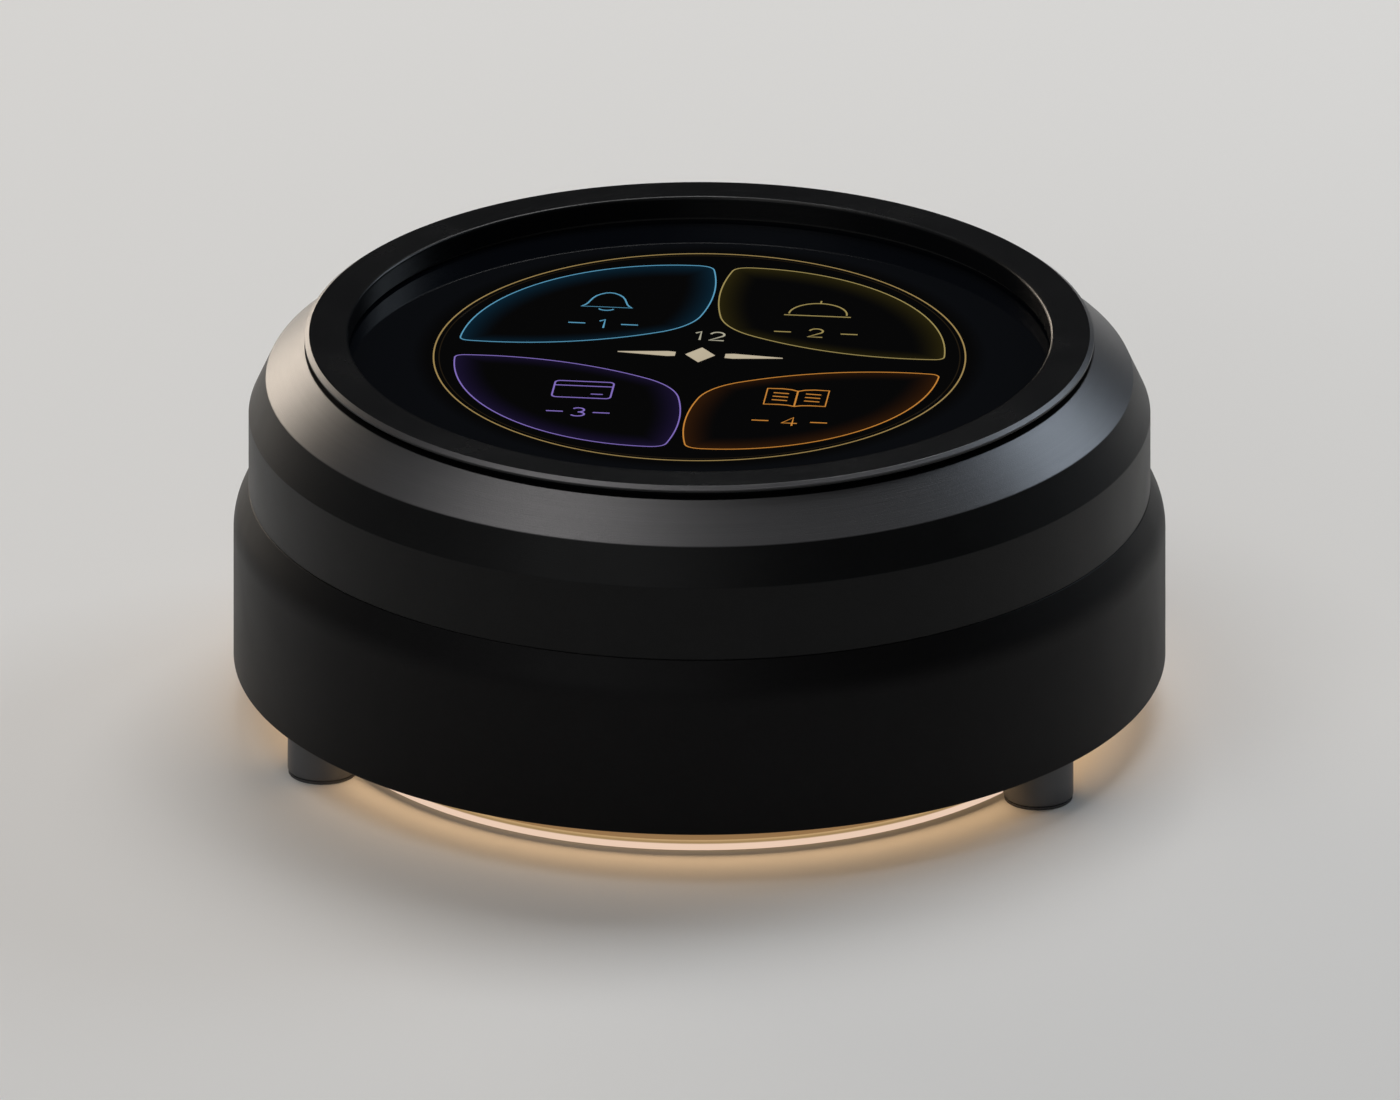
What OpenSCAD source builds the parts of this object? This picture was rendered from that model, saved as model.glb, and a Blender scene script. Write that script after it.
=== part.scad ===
// Round table call button: a display top that clicks down into a stepped round body,
// on three short feet with a light ring underneath.
// Z is up and the table is at Z = 0. The body's axis is X = Y = 0, and the top of
// what the display shows points to +Y, which is the back of the unit.

/* [Body] */
// Height of the whole unit above the table
total_h = 40.2; // [39:0.1:44]
// Diameter of the lower casing
body_d = 93.2; // [88:0.2:104]
// Height of the casing's underside above the table
foot_h = 5.4; // [5:0.1:7]
// Height of the lower casing's straight wall
lower_wall_h = 15.1; // [14.6:0.1:17]
// Thickness of the lower casing's wall
lower_wall_t = 2.4; // [2:0.1:2.8]
// Height of the sloping shoulder
shoulder_h = 3.3; // [3:0.1:4]
// Inward step of the shoulder
shoulder_in = 1.5; // [1.2:0.1:1.8]
// Height of the upper casing's straight wall
upper_wall_h = 7.8; // [7:0.1:8.6]
// Thickness of the upper casing's wall
upper_wall_t = 3.1; // [2.8:0.1:3.3]
// Height of the steep bevel above the upper wall
bevel_h = 3.8; // [3:0.1:4.4]
// Inward step of the steep bevel
bevel_in = 1.7; // [1.2:0.1:2.2]
// Width of the satin cone around the bezel ring
cone_w = 3.9; // [3.4:0.1:4.4]
// Rounding of the casings' outer edges
edge_r = 0.25; // [0.1:0.05:0.4]
// Depth of the spigot that centres the two casings
spigot_h = 4; // [3.4:0.1:4.4]
// Wall of the spigot
spigot_t = 1.2; // [1:0.1:1.4]
// Thickness of the deck under the display unit
deck_t = 2; // [1.6:0.1:2.6]
// Wall of the tube that guides the display unit
tube_t = 1.4; // [1.2:0.1:1.6]
// Diameter of the opening in the middle of the deck
deck_hole_d = 32; // [31:0.5:34]
// Height of the ledge that the base plate clamps
ledge_h = 2; // [1.6:0.1:2.4]
// Inward reach of the ledge
ledge_w = 1.6; // [1.2:0.1:2]

/* [Display unit] */
// Width of the bezel ring's flat top
bezel_w = 4.35; // [3.6:0.05:5]
// Thickness of the bezel ring's lip
lip_t = 0.65; // [0.55:0.05:0.9]
// Overhang of the lip beyond the skirt
lip_w = 1.2; // [1:0.1:1.4]
// Shadow gap between the lip and the casing
shadow_gap = 0.7; // [0.6:0.05:0.9]
// Travel of the display unit when pressed
travel = 0.5; // [0.3:0.05:0.5]
// Wall of the bezel ring's skirt
skirt_t = 1.7; // [1.5:0.1:1.9]
// Length of the skirt below the retaining clip
skirt_end = 0.8; // [0.6:0.1:1]
// Depth of the glass below the top of the ring
recess_h = 2.55; // [2.2:0.05:2.8]
// Thickness of the gasket over the glass
gasket_t = 0.35; // [0.25:0.05:0.5]
// Setback of the gasket behind the ring's inner wall
gasket_back = 0.35; // [0.2:0.05:0.45]
// Thickness of the cover glass
glass_t = 1.1; // [0.7:0.1:1.5]
// Thickness of the touch film
touch_t = 0.2; // [0.15:0.05:0.4]
// Diameter of the display panel
display_d = 56; // [52:0.5:57]
// Thickness of the display panel
display_t = 2.2; // [1.8:0.1:2.4]
// Thickness of the foam under the display panel
foam_t = 0.5; // [0.3:0.1:0.8]
// Thickness of the carrier's floor
carrier_t = 1.2; // [1:0.1:1.6]
// Thickness of the retaining clip
clip_t = 0.5; // [0.4:0.05:0.6]
// Radial width of the retaining clip
clip_w = 2; // [1.8:0.1:2.2]
// Opening of the retaining clip in degrees
clip_gap = 24; // [16:1:36]

/* [Guides and switches] */
// Diameter of the carrier's guide posts
post_d = 4; // [3.6:0.1:4.2]
// Wall of the guide bushes
bush_t = 0.95; // [0.8:0.05:1.1]
// Thickness of the guide bushes' flange
flange_t = 0.5; // [0.4:0.1:0.8]
// Thickness of the stop washers
washer_t = 0.6; // [0.4:0.1:0.8]
// Diameter of the stop washers
washer_d = 6.8; // [6.6:0.1:7.6]
// Diameter of the return springs, measured over the wire
spring_d = 6.4; // [6:0.1:6.6]
// Diameter of the spring wire
wire_d = 0.5; // [0.4:0.05:0.55]
// Turns of each return spring
spring_turns = 4; // [3:1:4]
// Side of a click switch
switch_w = 6; // [5:0.1:6.2]
// Height of a click switch's body
switch_h = 2.2; // [1.8:0.1:2.6]
// Height of the plunger above its body
plunger_h = 0.8; // [0.7:0.05:1.2]
// Diameter of the plunger
plunger_d = 3; // [2.4:0.1:3.4]
// Thickness of the switch board
switch_board_t = 1; // [0.8:0.1:1.2]

/* [Base] */
// Thickness of the base plate
base_t = 2; // [1.6:0.1:2.4]
// Diameter of a foot
foot_d = 7; // [6.4:0.1:7.6]
// Inset of the feet's centres from the lower casing's outside
foot_inset = 5.1; // [5:0.1:5.6]
// Thickness of the rubber foot pads
pad_t = 0.9; // [0.7:0.1:1.2]
// Height of the pads' rubber that shows below the feet
pad_out = 0.3; // [0.2:0.05:0.5]
// Inset of the light ring from the lower casing's outside
light_inset = 8; // [7.8:0.1:8.4]
// Radial width of the light ring
light_w = 3.4; // [3.2:0.1:3.8]
// Height of the light ring above the table
light_gap = 0.35; // [0.3:0.05:0.6]
// Height of the glowing bead
bead_h = 1; // [0.8:0.05:1.2]
// Inset of the light channel behind the bead
channel_in = 0.5; // [0.4:0.05:0.6]
// Wall of the light channel
channel_t = 0.6; // [0.5:0.05:0.7]
// Number of lamps on the light ring
led_count = 24; // [12:1:30]
// Diameter of the casing screws
screw_d = 2.5; // [2:0.1:2.8]
// Diameter of the casing's screw bosses
boss_d = 6; // [5.6:0.1:6.4]

/* [Inner parts] */
// Width, depth and height of the battery
battery_size = [40, 30, 8];
// Thickness of the battery's foam pad
battery_pad_t = 0.6; // [0.4:0.1:1]
// Gap between the main board's edge and the lower casing
board_gap = 5.2; // [4.2:0.1:6]
// Thickness of the main board
board_t = 1.6; // [1.2:0.1:1.6]
// Outer width of the charging socket's shell
shell_w = 8.94; // [8.9:0.02:9.2]
// Outer height of the charging socket's shell
shell_h = 3.16; // [3:0.02:3.2]
// Wall of the charging socket's shell
shell_t = 0.3; // [0.25:0.05:0.35]
// Length of the charging socket
shell_len = 7.35; // [6.5:0.05:8]
// Thickness of the wall left around the charging socket
port_floor_t = 0.5; // [0.4:0.1:1]
// Room for the plug's grip around the charging socket
plug_margin = 1.5; // [1.2:0.1:1.6]
// Travel of the power slider
slider_travel = 2; // [1.5:0.1:2.2]
// Travel of the reset button
reset_travel = 0.3; // [0.2:0.05:0.35]

/* [Clearances] */
// Radial gap of the skirt in its guide tube
slide_gap = 0.3; // [0.25:0.05:0.4]
// Radial gap of a running fit
run_gap = 0.05; // [0.03:0.01:0.08]
// Gap between fixed pieces that fit into each other
fit_gap = 0.1; // [0.08:0.01:0.15]
// Radial gap around the glass, the display and passing pieces
loose_gap = 0.3; // [0.2:0.05:0.35]
// Gap at a stop or a switch while nothing is pressed
stop_gap = 0.05; // [0.03:0.01:0.08]

/* [Hidden] */
$fn = 96;
eps = 0.01;
past = 1;
fine_r = 0.15;
corner_steps = 5;

// Radii of the body, from the outside in
body_r = body_d / 2;
upper_r = body_r - shoulder_in;
cone_r = upper_r - bevel_in;
bezel_r = cone_r - cone_w;
window_r = bezel_r - bezel_w;
skirt_r = bezel_r - lip_w;
skirt_in_r = skirt_r - skirt_t;
tube_in_r = skirt_r + slide_gap;
tube_r = tube_in_r + tube_t;
upper_in_r = upper_r - upper_wall_t;
spigot_r = upper_in_r + spigot_t;
lower_lip_r = spigot_r + fit_gap;
lower_in_r = body_r - lower_wall_t;
ledge_r = lower_in_r - ledge_w;
glass_r = skirt_in_r - fit_gap;
display_r = display_d / 2;
pocket_r = display_r + loose_gap;

// Heights of the body, from the table up
z_base_top = foot_h + base_t;
z_ledge_top = z_base_top + ledge_h;
z_low_top = foot_h + lower_wall_h;
z_seam = z_low_top + shoulder_h;
z_wall_top = z_seam + upper_wall_h;
z_cone = z_wall_top + bevel_h;
z_spigot = z_seam - spigot_h;
z_seal = z_seam - spigot_h * 0.45;
z_lower_lip = z_spigot + spigot_h * 0.28;
seal_half = 0.5;
seal_r = spigot_r - spigot_t / 2;

// Heights of the display unit, from its top down
z_lip = total_h - lip_t;
z_land = z_lip - shadow_gap;
z_glass = total_h - recess_h;
z_ring_foot = z_glass + gasket_t;
z_touch = z_glass - glass_t;
z_display = z_touch - touch_t;
z_foam = z_display - display_t;
z_carrier_floor = z_foam - foam_t;
z_carrier = z_carrier_floor - carrier_t;
z_clip_top = z_carrier + clip_t;
z_skirt = z_carrier - skirt_end;

// Retaining clip, in a groove inside the skirt
clip_groove = 0.6;
clip_r = skirt_in_r + clip_groove;
clip_in_r = clip_r - clip_w;
carrier_step_r = clip_in_r - fit_gap;

// Deck, switches and guides
z_deck = z_carrier - stop_gap - plunger_h - switch_h - switch_board_t;
z_deck_under = z_deck - deck_t;
z_switch = z_deck + switch_board_t;
z_switch_top = z_switch + switch_h;
post_r = post_d / 2;
spring_gap = 1.8;
guide_ring_r = skirt_in_r - spring_d / 2 - spring_gap;
bush_in_r = post_r + run_gap;
bush_r = bush_in_r + bush_t;
flange_r = spring_d / 2 + loose_gap;
spring_seat_z = z_deck + flange_t;
spring_len = z_carrier - spring_seat_z;
z_stop = z_deck_under - stop_gap;
stop_head_h = 1.2;
stop_head_r = 1.9;
stop_shank_r = 0.8;
stop_thread = 4;
switch_board_margin = 1.6;
switch_board_r = tube_in_r - switch_board_margin;
switch_board_in_r = 12;
board_screw_r = 1;
board_screw_head_r = 1.8;
board_screw_head_h = 1.2;
board_screw_len = 5;
pilot_floor = 0.2;
switch_screw_gap = 3;
switch_screw_ring_r = deck_hole_d / 2 + switch_screw_gap;
switch_floor = 0.2;
switch_corner = 0.4;
guide_start = 90;
boss_start = 30;

// Light ring
light_r = body_r - light_inset;
light_in_r = light_r - light_w;
channel_r = light_r - channel_in;
z_bead = light_gap + bead_h;
channel_ceiling = 0.8;
peg_r = 1;
bead_round = 0.3;
diffuser_plug_h = 1;
led_size = [1.2, 2];
led_board_t = 0.8;
led_h = 0.7;
z_led_board = foot_h - channel_ceiling - led_board_t;
foot_ring_r = body_r - foot_inset;
foot_r = foot_d / 2;
foot_lip = 0.6;
foot_relief_r = foot_r + fit_gap;

// Base, screws and bosses
base_r = lower_in_r;
rim_in_r = base_r + fit_gap;
boss_r = boss_d / 2;
boss_gap = 0.6;
boss_ring_r = light_in_r - boss_r - boss_gap;
screw_r = screw_d / 2;
screw_hole_r = screw_r + run_gap;
screw_head_w = 0.9;
screw_head_r = screw_r + screw_head_w;
screw_head_h = 1.4;
screw_sink = 0.2;
casing_screw_len = 10;
foot_head_h = 1.6;
foot_head_r = 2.2;

// Main board and what hangs on it
battery_x = battery_size[0];
battery_y = battery_size[1];
battery_h = battery_size[2];
z_battery = z_base_top + battery_pad_t;
board_room = 1.5;
battery_round = 2;
pad_inset = 2;
z_board = z_battery + battery_h + board_room;
z_board_top = z_board + board_t;
board_r = lower_in_r - board_gap;
standoff_out = 7;
standoff_places = [
    [battery_x / 2 + standoff_out, standoff_out],
    [-battery_x / 2 - standoff_out, standoff_out],
    [0, -battery_y / 2 - standoff_out]
];
standoff_r = 2.4;
stud_r = 1.2;
stud_len = 1.5;
standoff_bore = 6;
insert_tongue = [6.7, 0.7];
insert_block = 1.4;
insert_back = 0.7;
shell_z = z_board - shell_h / 2;
port_floor_y = lower_in_r + port_floor_t;
shell_mouth_y = port_floor_y - fit_gap;
shell_back_y = shell_mouth_y - shell_len;
tongue_w = 12;
tongue_gap = 0.8;
tongue_y = spigot_r - tongue_gap;
socket_h = 2;
lead_r = 0.5;
lead_half = 0.75;
lead_run = 2;
lead_bend = 2;
lead_rise = 1;
lead_socket_size = [3, 5];
light_lead_r = (light_in_r + channel_r) / 2;
cable_w = 12;
cable_t = 0.2;
cable_y = -9;
cable_tab = 5;
cable_margin = 1;
cable_slot = 3;
foam_back = 1;
connector_h = 1.5;
connector_d = 3.6;
connector_margin = 1.5;
link_y = (switch_board_in_r + deck_hole_d / 2) / 2;
link_w = 8;
header_w = 2.5;
control_link_w = 5;
control_link_d = 2;
control_link_back = 3;
module_place = [17, -3];
module_size = [16, 14];
module_board_t = 0.8;
module_h = 3;
can_inset = 1;
buzzer_place = [-15, 5];
buzzer_r = 4.5;
buzzer_hole_r = 0.8;
buzzer_hole_h = 1;
buzzer_share = 0.55;

// Controls under the base plate
control_gap = 6;
control_y = battery_y / 2 + control_gap;
control_size = [26, 9];
control_t = 1;
control_post_in = 1.6;
control_post_r = 1.5;
control_pin_r = 0.8;
control_pin_out = 0.4;
power_switch_size = [9.4, 4.4];
control_gap_h = 3;
z_control = z_base_top + control_gap_h;
power_x = -5;
reset_x = 5.5;
stem_size = [2, 1.6];
slider_flange_w = 0.5;
slider_flange_t = 0.9;
slider_flange_z = z_base_top + slider_flange_t;
slider_out = 0.4;
slider_gap = 0.2;
reset_r = 1.6;
reset_pin_r = 0.8;
reset_flange_r = 2.4;
reset_flange_t = 0.6;
reset_body_h = 1.5;
reset_switch_w = 4.6;
reset_sink = 0.1;

// Helpers

// One copy of the children on each of count places of a circle
module around(count, radius, start = 0) {
    for (i = [0 : count - 1])
        rotate(start + i * 360 / count)
            translate([radius, 0, 0])
                children();
}

// Upright cylinder between two heights
module disc(r, z0, z1) {
    translate([0, 0, z0])
        cylinder(r = r, h = z1 - z0);
}

// Flat ring between two heights
module ring(r_out, r_in, z0, z1) {
    difference() {
        disc(r_out, z0, z1);
        disc(r_in, z0 - past, z1 + past);
    }
}

// Centred box on a height
module block(size, z0, z1) {
    translate([-size[0] / 2, -size[1] / 2, z0])
        cube([size[0], size[1], z1 - z0]);
}

// Flat outline of a centred rectangle with round corners
module rounded_outline(size, r) {
    square([size[0] - 2 * r, size[1]], center = true);
    square([size[0], size[1] - 2 * r], center = true);
    for (x = [-1, 1], y = [-1, 1])
        translate([x * (size[0] / 2 - r), y * (size[1] / 2 - r)])
            circle(r = r);
}

// Block with round upright edges
module soft_block(size, r, z0, z1) {
    translate([0, 0, z0])
        linear_extrude(z1 - z0)
            rounded_outline(size, r);
}

// Flat stadium with round ends, w wide and h high
module stadium(w, h) {
    square([w - h, h], center = true);
    for (x = [-1, 1])
        translate([x * (w - h) / 2, 0])
            circle(r = h / 2);
}

// Stadium prism along +Y from y0 to y1, centred on the height z
module port(w, h, z, y0, y1) {
    translate([0, y1, z])
        rotate([90, 0, 0])
            linear_extrude(y1 - y0)
                stadium(w, h);
}

// Screw with its head below its shank
module screw(head_r, head_h, shank_r, z_head, z_end) {
    difference() {
        disc(head_r, z_head, z_head + head_h);
        translate([0, 0, z_head - eps])
            cylinder(r = shank_r * 0.75, h = head_h / 2, $fn = 6);
    }
    disc(shank_r, z_head + head_h - eps, z_end);
}

// Screw with its head above its shank
module top_screw(head_r, head_h, shank_r, z_head, z_end) {
    difference() {
        disc(head_r, z_head, z_head + head_h);
        translate([0, 0, z_head + head_h / 2])
            cylinder(r = shank_r * 0.75, h = head_h, $fn = 6);
    }
    disc(shank_r, z_end, z_head + eps);
}

function unit(v) = v / norm(v);

// Points of the arc that rounds the corner p between its neighbours a and b
function corner(a, p, b, r) =
    let (
        u = unit(a - p),
        w = unit(b - p),
        half = acos(u * w) / 2,
        c = p + unit(u + w) * r / sin(half),
        s = p + u * r / tan(half) - c,
        e = p + w * r / tan(half) - c,
        a0 = atan2(s[1], s[0]),
        turn = (atan2(e[1], e[0]) - a0 + 540) % 360 - 180
    )
    [for (i = [0 : corner_steps])
        let (t = a0 + turn * i / corner_steps)
        c + r * [cos(t), sin(t)]];

function flat(p) = [p[0], p[1]];

// Outline whose points are [radius, height, rounding]
function rounded(pts) =
    let (n = len(pts))
    [for (i = [0 : n - 1])
        let (a = flat(pts[(i + n - 1) % n]), p = flat(pts[i]), b = flat(pts[(i + 1) % n]))
        each (pts[i][2] == 0 ? [p] : corner(a, p, b, pts[i][2]))];

// Round solid turned from an outline
module turned(pts) {
    rotate_extrude()
        polygon(rounded(pts));
}

// Helical wire from height 0 to len, as one tube with six sides
module coil(outer_r, wire_r, len, turns) {
    rings_per_turn = 12;
    sides = 6;
    rings = turns * rings_per_turn;
    mean_r = outer_r - wire_r;
    points = [
        for (i = [0 : rings], k = [0 : sides - 1])
            let (
                t = 360 * i / rings_per_turn,
                a = 360 * k / sides,
                rad = mean_r + wire_r * cos(a),
                z = wire_r + (len - 2 * wire_r) * i / rings + wire_r * sin(a)
            )
            [rad * cos(t), rad * sin(t), z]
    ];
    walls = [
        for (i = [0 : rings - 1], k = [0 : sides - 1])
            let (p = i * sides + k, q = i * sides + (k + 1) % sides)
            each [[p, q, q + sides], [p, q + sides, p + sides]]
    ];
    first = [for (k = [1 : sides - 2]) [0, k + 1, k]];
    last = [for (k = [1 : sides - 2]) [rings * sides, rings * sides + k, rings * sides + k + 1]];
    polyhedron(points = points, faces = concat(walls, first, last));
}

// Display unit, which moves down as one when it is pressed

module bezel_ring() {
    lip_round = lip_t * 0.7;
    color([0.09, 0.09, 0.1])
        turned([
            [window_r, total_h, 2 * fine_r],
            [window_r, z_ring_foot, 0],
            [skirt_in_r, z_ring_foot, 0],
            [skirt_in_r, z_clip_top, 0],
            [clip_r, z_clip_top, 0],
            [clip_r, z_carrier, 0],
            [skirt_in_r, z_carrier, 0],
            [skirt_in_r, z_skirt, 0],
            [skirt_r, z_skirt, fine_r],
            [skirt_r, z_lip, 0],
            [bezel_r, z_lip, fine_r],
            [bezel_r, total_h, lip_round]
        ]);
}

module glass_gasket() {
    color([0.02, 0.02, 0.02])
        ring(glass_r, window_r + gasket_back, z_glass, z_ring_foot);
}

module cover_glass() {
    color([0.1, 0.12, 0.15, 0.5])
        disc(glass_r, z_touch, z_glass);
}

module touch_film() {
    color([0.15, 0.17, 0.2, 0.5])
        disc(glass_r, z_display, z_touch);
}

module display_panel() {
    color([0.01, 0.01, 0.015])
        disc(display_r, z_foam, z_display);
}

module display_foam() {
    color([0.15, 0.15, 0.15])
        difference() {
            disc(display_r - foam_back, z_carrier_floor, z_foam);
            translate([0, cable_y + cable_tab / 2, 0])
                block([cable_w + 2 * cable_margin, cable_tab + 2 * cable_margin],
                      z_carrier_floor - past, z_foam + past);
        }
}

module display_carrier() {
    color([0.06, 0.06, 0.07])
        difference() {
            union() {
                disc(glass_r, z_clip_top, z_display);
                disc(carrier_step_r, z_carrier, z_clip_top + eps);
                around(3, guide_ring_r, guide_start)
                    disc(post_r, z_stop, z_carrier + eps);
            }
            disc(pocket_r, z_carrier_floor, z_display + past);
            translate([0, cable_y, 0])
                block([cable_w + 2 * cable_margin, cable_slot], z_carrier - past, z_display);
            around(3, guide_ring_r, guide_start)
                disc(stop_shank_r + run_gap, z_stop - past, z_stop + stop_thread + loose_gap);
        }
}

module retaining_clip() {
    color([0.6, 0.6, 0.62])
        difference() {
            ring(clip_r - fit_gap, clip_in_r, z_carrier, z_clip_top);
            rotate(-90 - clip_gap / 2)
                rotate_extrude(angle = clip_gap)
                    translate([clip_in_r - past, z_carrier - past])
                        square([clip_w + 2 * past, clip_t + 2 * past]);
        }
}

module stop_washers() {
    color([0.7, 0.7, 0.72])
        around(3, guide_ring_r, guide_start)
            ring(washer_d / 2, stop_shank_r + fit_gap, z_stop - washer_t, z_stop);
}

module stop_screws() {
    color([0.55, 0.55, 0.57])
        around(3, guide_ring_r, guide_start)
            screw(stop_head_r, stop_head_h, stop_shank_r,
                  z_stop - washer_t - stop_head_h, z_stop + stop_thread);
}

module return_springs() {
    color([0.75, 0.75, 0.77])
        around(3, guide_ring_r, guide_start)
            translate([0, 0, spring_seat_z])
                coil(spring_d / 2, wire_d / 2, spring_len, spring_turns);
}

module display_cable() {
    color([0.75, 0.5, 0.2])
        union() {
            translate([0, cable_y, 0])
                block([cable_w, cable_t], z_board_top + connector_h, z_foam);
            translate([0, cable_y + (cable_tab - cable_t) / 2, 0])
                block([cable_w, cable_tab], z_foam - cable_t, z_foam);
        }
}

// Upper casing and what is fixed to its deck

module upper_casing() {
    color([0.07, 0.07, 0.08])
        difference() {
            union() {
                turned([
                    [tube_in_r, z_land, fine_r],
                    [tube_in_r, z_deck, 0],
                    [deck_hole_d / 2, z_deck, 0],
                    [deck_hole_d / 2, z_deck_under, 0],
                    [tube_r, z_deck_under, 0],
                    [tube_r, z_wall_top, 0],
                    [upper_in_r, z_wall_top, 0],
                    [upper_in_r, z_spigot, 0],
                    [spigot_r, z_spigot, fine_r],
                    [spigot_r, z_seam, 0],
                    [upper_r, z_seam, fine_r],
                    [upper_r, z_wall_top, edge_r],
                    [cone_r, z_cone, edge_r],
                    [bezel_r, z_land, fine_r]
                ]);
                around(3, boss_ring_r, boss_start)
                    disc(boss_r, z_base_top, z_deck_under + eps);
            }
            ring(spigot_r + past, seal_r, z_seal - seal_half, z_seal + seal_half);
            around(3, boss_ring_r, boss_start)
                disc(screw_hole_r, z_base_top - past,
                     foot_h + screw_sink + screw_head_h + casing_screw_len + loose_gap);
            around(3, guide_ring_r, guide_start)
                disc(bush_r, z_deck_under - past, z_deck + past);
            around(3, switch_screw_ring_r, guide_start)
                disc(board_screw_r + run_gap, z_deck_under + pilot_floor, z_deck + past);
        }
}

module guide_bushes() {
    color([0.8, 0.65, 0.3])
        around(3, guide_ring_r, guide_start)
            difference() {
                union() {
                    disc(bush_r, z_deck_under, z_deck + eps);
                    disc(flange_r, z_deck, spring_seat_z);
                }
                disc(bush_in_r, z_deck_under - past, spring_seat_z + past);
            }
}

module switch_board() {
    color([0.05, 0.25, 0.12])
        difference() {
            ring(switch_board_r, switch_board_in_r, z_deck, z_switch);
            around(3, guide_ring_r, guide_start)
                disc(flange_r + loose_gap, z_deck - past, z_switch + past);
            around(3, switch_screw_ring_r, guide_start)
                disc(board_screw_r + fit_gap, z_deck - past, z_switch + past);
        }
}

module switch_board_screws() {
    color([0.6, 0.6, 0.62])
        around(3, switch_screw_ring_r, guide_start)
            top_screw(board_screw_head_r, board_screw_head_h, board_screw_r,
                      z_switch, z_deck_under + 2 * pilot_floor);
}

module click_switches() {
    color([0.2, 0.2, 0.22])
        around(3, guide_ring_r, boss_start)
            difference() {
                soft_block([switch_w, switch_w], switch_corner, z_switch, z_switch_top);
                disc(plunger_d / 2 + run_gap, z_switch + switch_floor, z_switch_top + past);
            }
}

module switch_plungers() {
    color([0.85, 0.85, 0.82])
        around(3, guide_ring_r, boss_start)
            disc(plunger_d / 2, z_switch + switch_floor + travel + fit_gap, z_switch_top + plunger_h);
}

module casing_seal() {
    color([0.03, 0.03, 0.03])
        ring(lower_lip_r, seal_r, z_seal - seal_half, z_seal + seal_half);
}

// Lower casing and the charging socket

module lower_casing() {
    port_in_w = shell_w + 2 * loose_gap;
    port_in_h = shell_h + 2 * loose_gap;
    color([0.06, 0.06, 0.07])
        difference() {
            turned([
                [body_r, foot_h, edge_r],
                [body_r, z_low_top, edge_r],
                [upper_r, z_seam, fine_r],
                [lower_lip_r, z_seam, 0],
                [lower_lip_r, z_lower_lip, 0],
                [lower_in_r, z_lower_lip - (lower_in_r - lower_lip_r), 0],
                [lower_in_r, z_ledge_top, 0],
                [ledge_r, z_ledge_top, 0],
                [ledge_r, z_base_top, 0],
                [rim_in_r, z_base_top, 0],
                [rim_in_r, foot_h, fine_r]
            ]);
            port(port_in_w, port_in_h, shell_z, spigot_r, body_r + past);
            port(port_in_w + 2 * plug_margin, port_in_h + 2 * plug_margin, shell_z,
                 port_floor_y, body_r + past);
        }
}

module charging_socket() {
    color([0.7, 0.7, 0.72])
        difference() {
            port(shell_w, shell_h, shell_z, shell_back_y, shell_mouth_y);
            port(shell_w - 2 * shell_t, shell_h - 2 * shell_t, shell_z,
                 shell_back_y - past, shell_mouth_y + past);
        }
}

module socket_insert() {
    color([0.05, 0.05, 0.05])
        union() {
            port(shell_w - 2 * shell_t, shell_h - 2 * shell_t, shell_z,
                 shell_back_y, shell_back_y + insert_block);
            translate([-insert_tongue[0] / 2, shell_back_y + insert_block - eps,
                       shell_z - insert_tongue[1] / 2])
                cube([insert_tongue[0], shell_len - insert_block - insert_back, insert_tongue[1]]);
        }
}

// Main board and its parts

module main_board() {
    color([0.04, 0.22, 0.1])
        difference() {
            union() {
                disc(board_r, z_board, z_board_top);
                translate([-tongue_w / 2, 0, z_board])
                    cube([tongue_w, tongue_y, board_t]);
            }
            around(3, boss_ring_r, boss_start)
                disc(boss_r + loose_gap, z_board - past, z_board_top + past);
            for (p = standoff_places)
                translate(p)
                    disc(board_screw_r + fit_gap, z_board - past, z_board_top + past);
        }
}

module processor_module() {
    translate(module_place) {
        color([0.05, 0.1, 0.2])
            block(module_size, z_board_top, z_board_top + module_board_t);
        color([0.75, 0.75, 0.77])
            soft_block(module_size - 2 * [can_inset, can_inset], can_inset,
                       z_board_top + module_board_t - eps, z_board_top + module_h);
    }
}

module board_chips() {
    chips = [
        [9, 30, 4, 4, 0.9], [-9, 29, 6, 4, 1.2], [-14, -14, 7, 7, 1], [-24, -6, 3, 5, 1.6],
        [18, -20, 5, 4, 1.2], [6, 22, 2, 1.2, 0.8], [-3, 24, 2, 1.2, 0.8], [-20, 16, 4, 4, 1.8],
        [14, -13.5, 1.2, 2, 0.7], [-6, -16, 2, 1.2, 0.6]
    ];
    color([0.1, 0.1, 0.1])
        for (c = chips)
            translate([c[0], c[1], 0])
                block([c[2], c[3]], z_board_top, z_board_top + c[4]);
}

module cable_connector() {
    color([0.85, 0.83, 0.75])
        translate([0, cable_y, 0])
            block([cable_w + 2 * connector_margin, connector_d], z_board_top, z_board_top + connector_h);
}

module board_headers() {
    color([0.08, 0.08, 0.08]) {
        translate([0, link_y, 0])
            block([link_w, header_w], z_board_top, z_deck);
        translate([0, control_y + control_link_back, 0])
            block([control_link_w, control_link_d], z_control + control_t, z_board);
    }
}

module buzzer() {
    z_top = z_board_top + buzzer_share * (z_deck_under - z_board_top);
    color([0.1, 0.1, 0.11])
        translate(buzzer_place)
            difference() {
                disc(buzzer_r, z_board_top, z_top);
                disc(buzzer_hole_r, z_top - buzzer_hole_h, z_top + past);
            }
}

module board_standoffs() {
    color([0.8, 0.65, 0.3])
        for (p = standoff_places)
            translate(p)
                difference() {
                    union() {
                        disc(standoff_r, z_base_top, z_board);
                        disc(stud_r, z_base_top - stud_len, z_base_top + eps);
                    }
                    disc(board_screw_r + run_gap, z_board - standoff_bore, z_board + past);
                }
}

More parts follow.
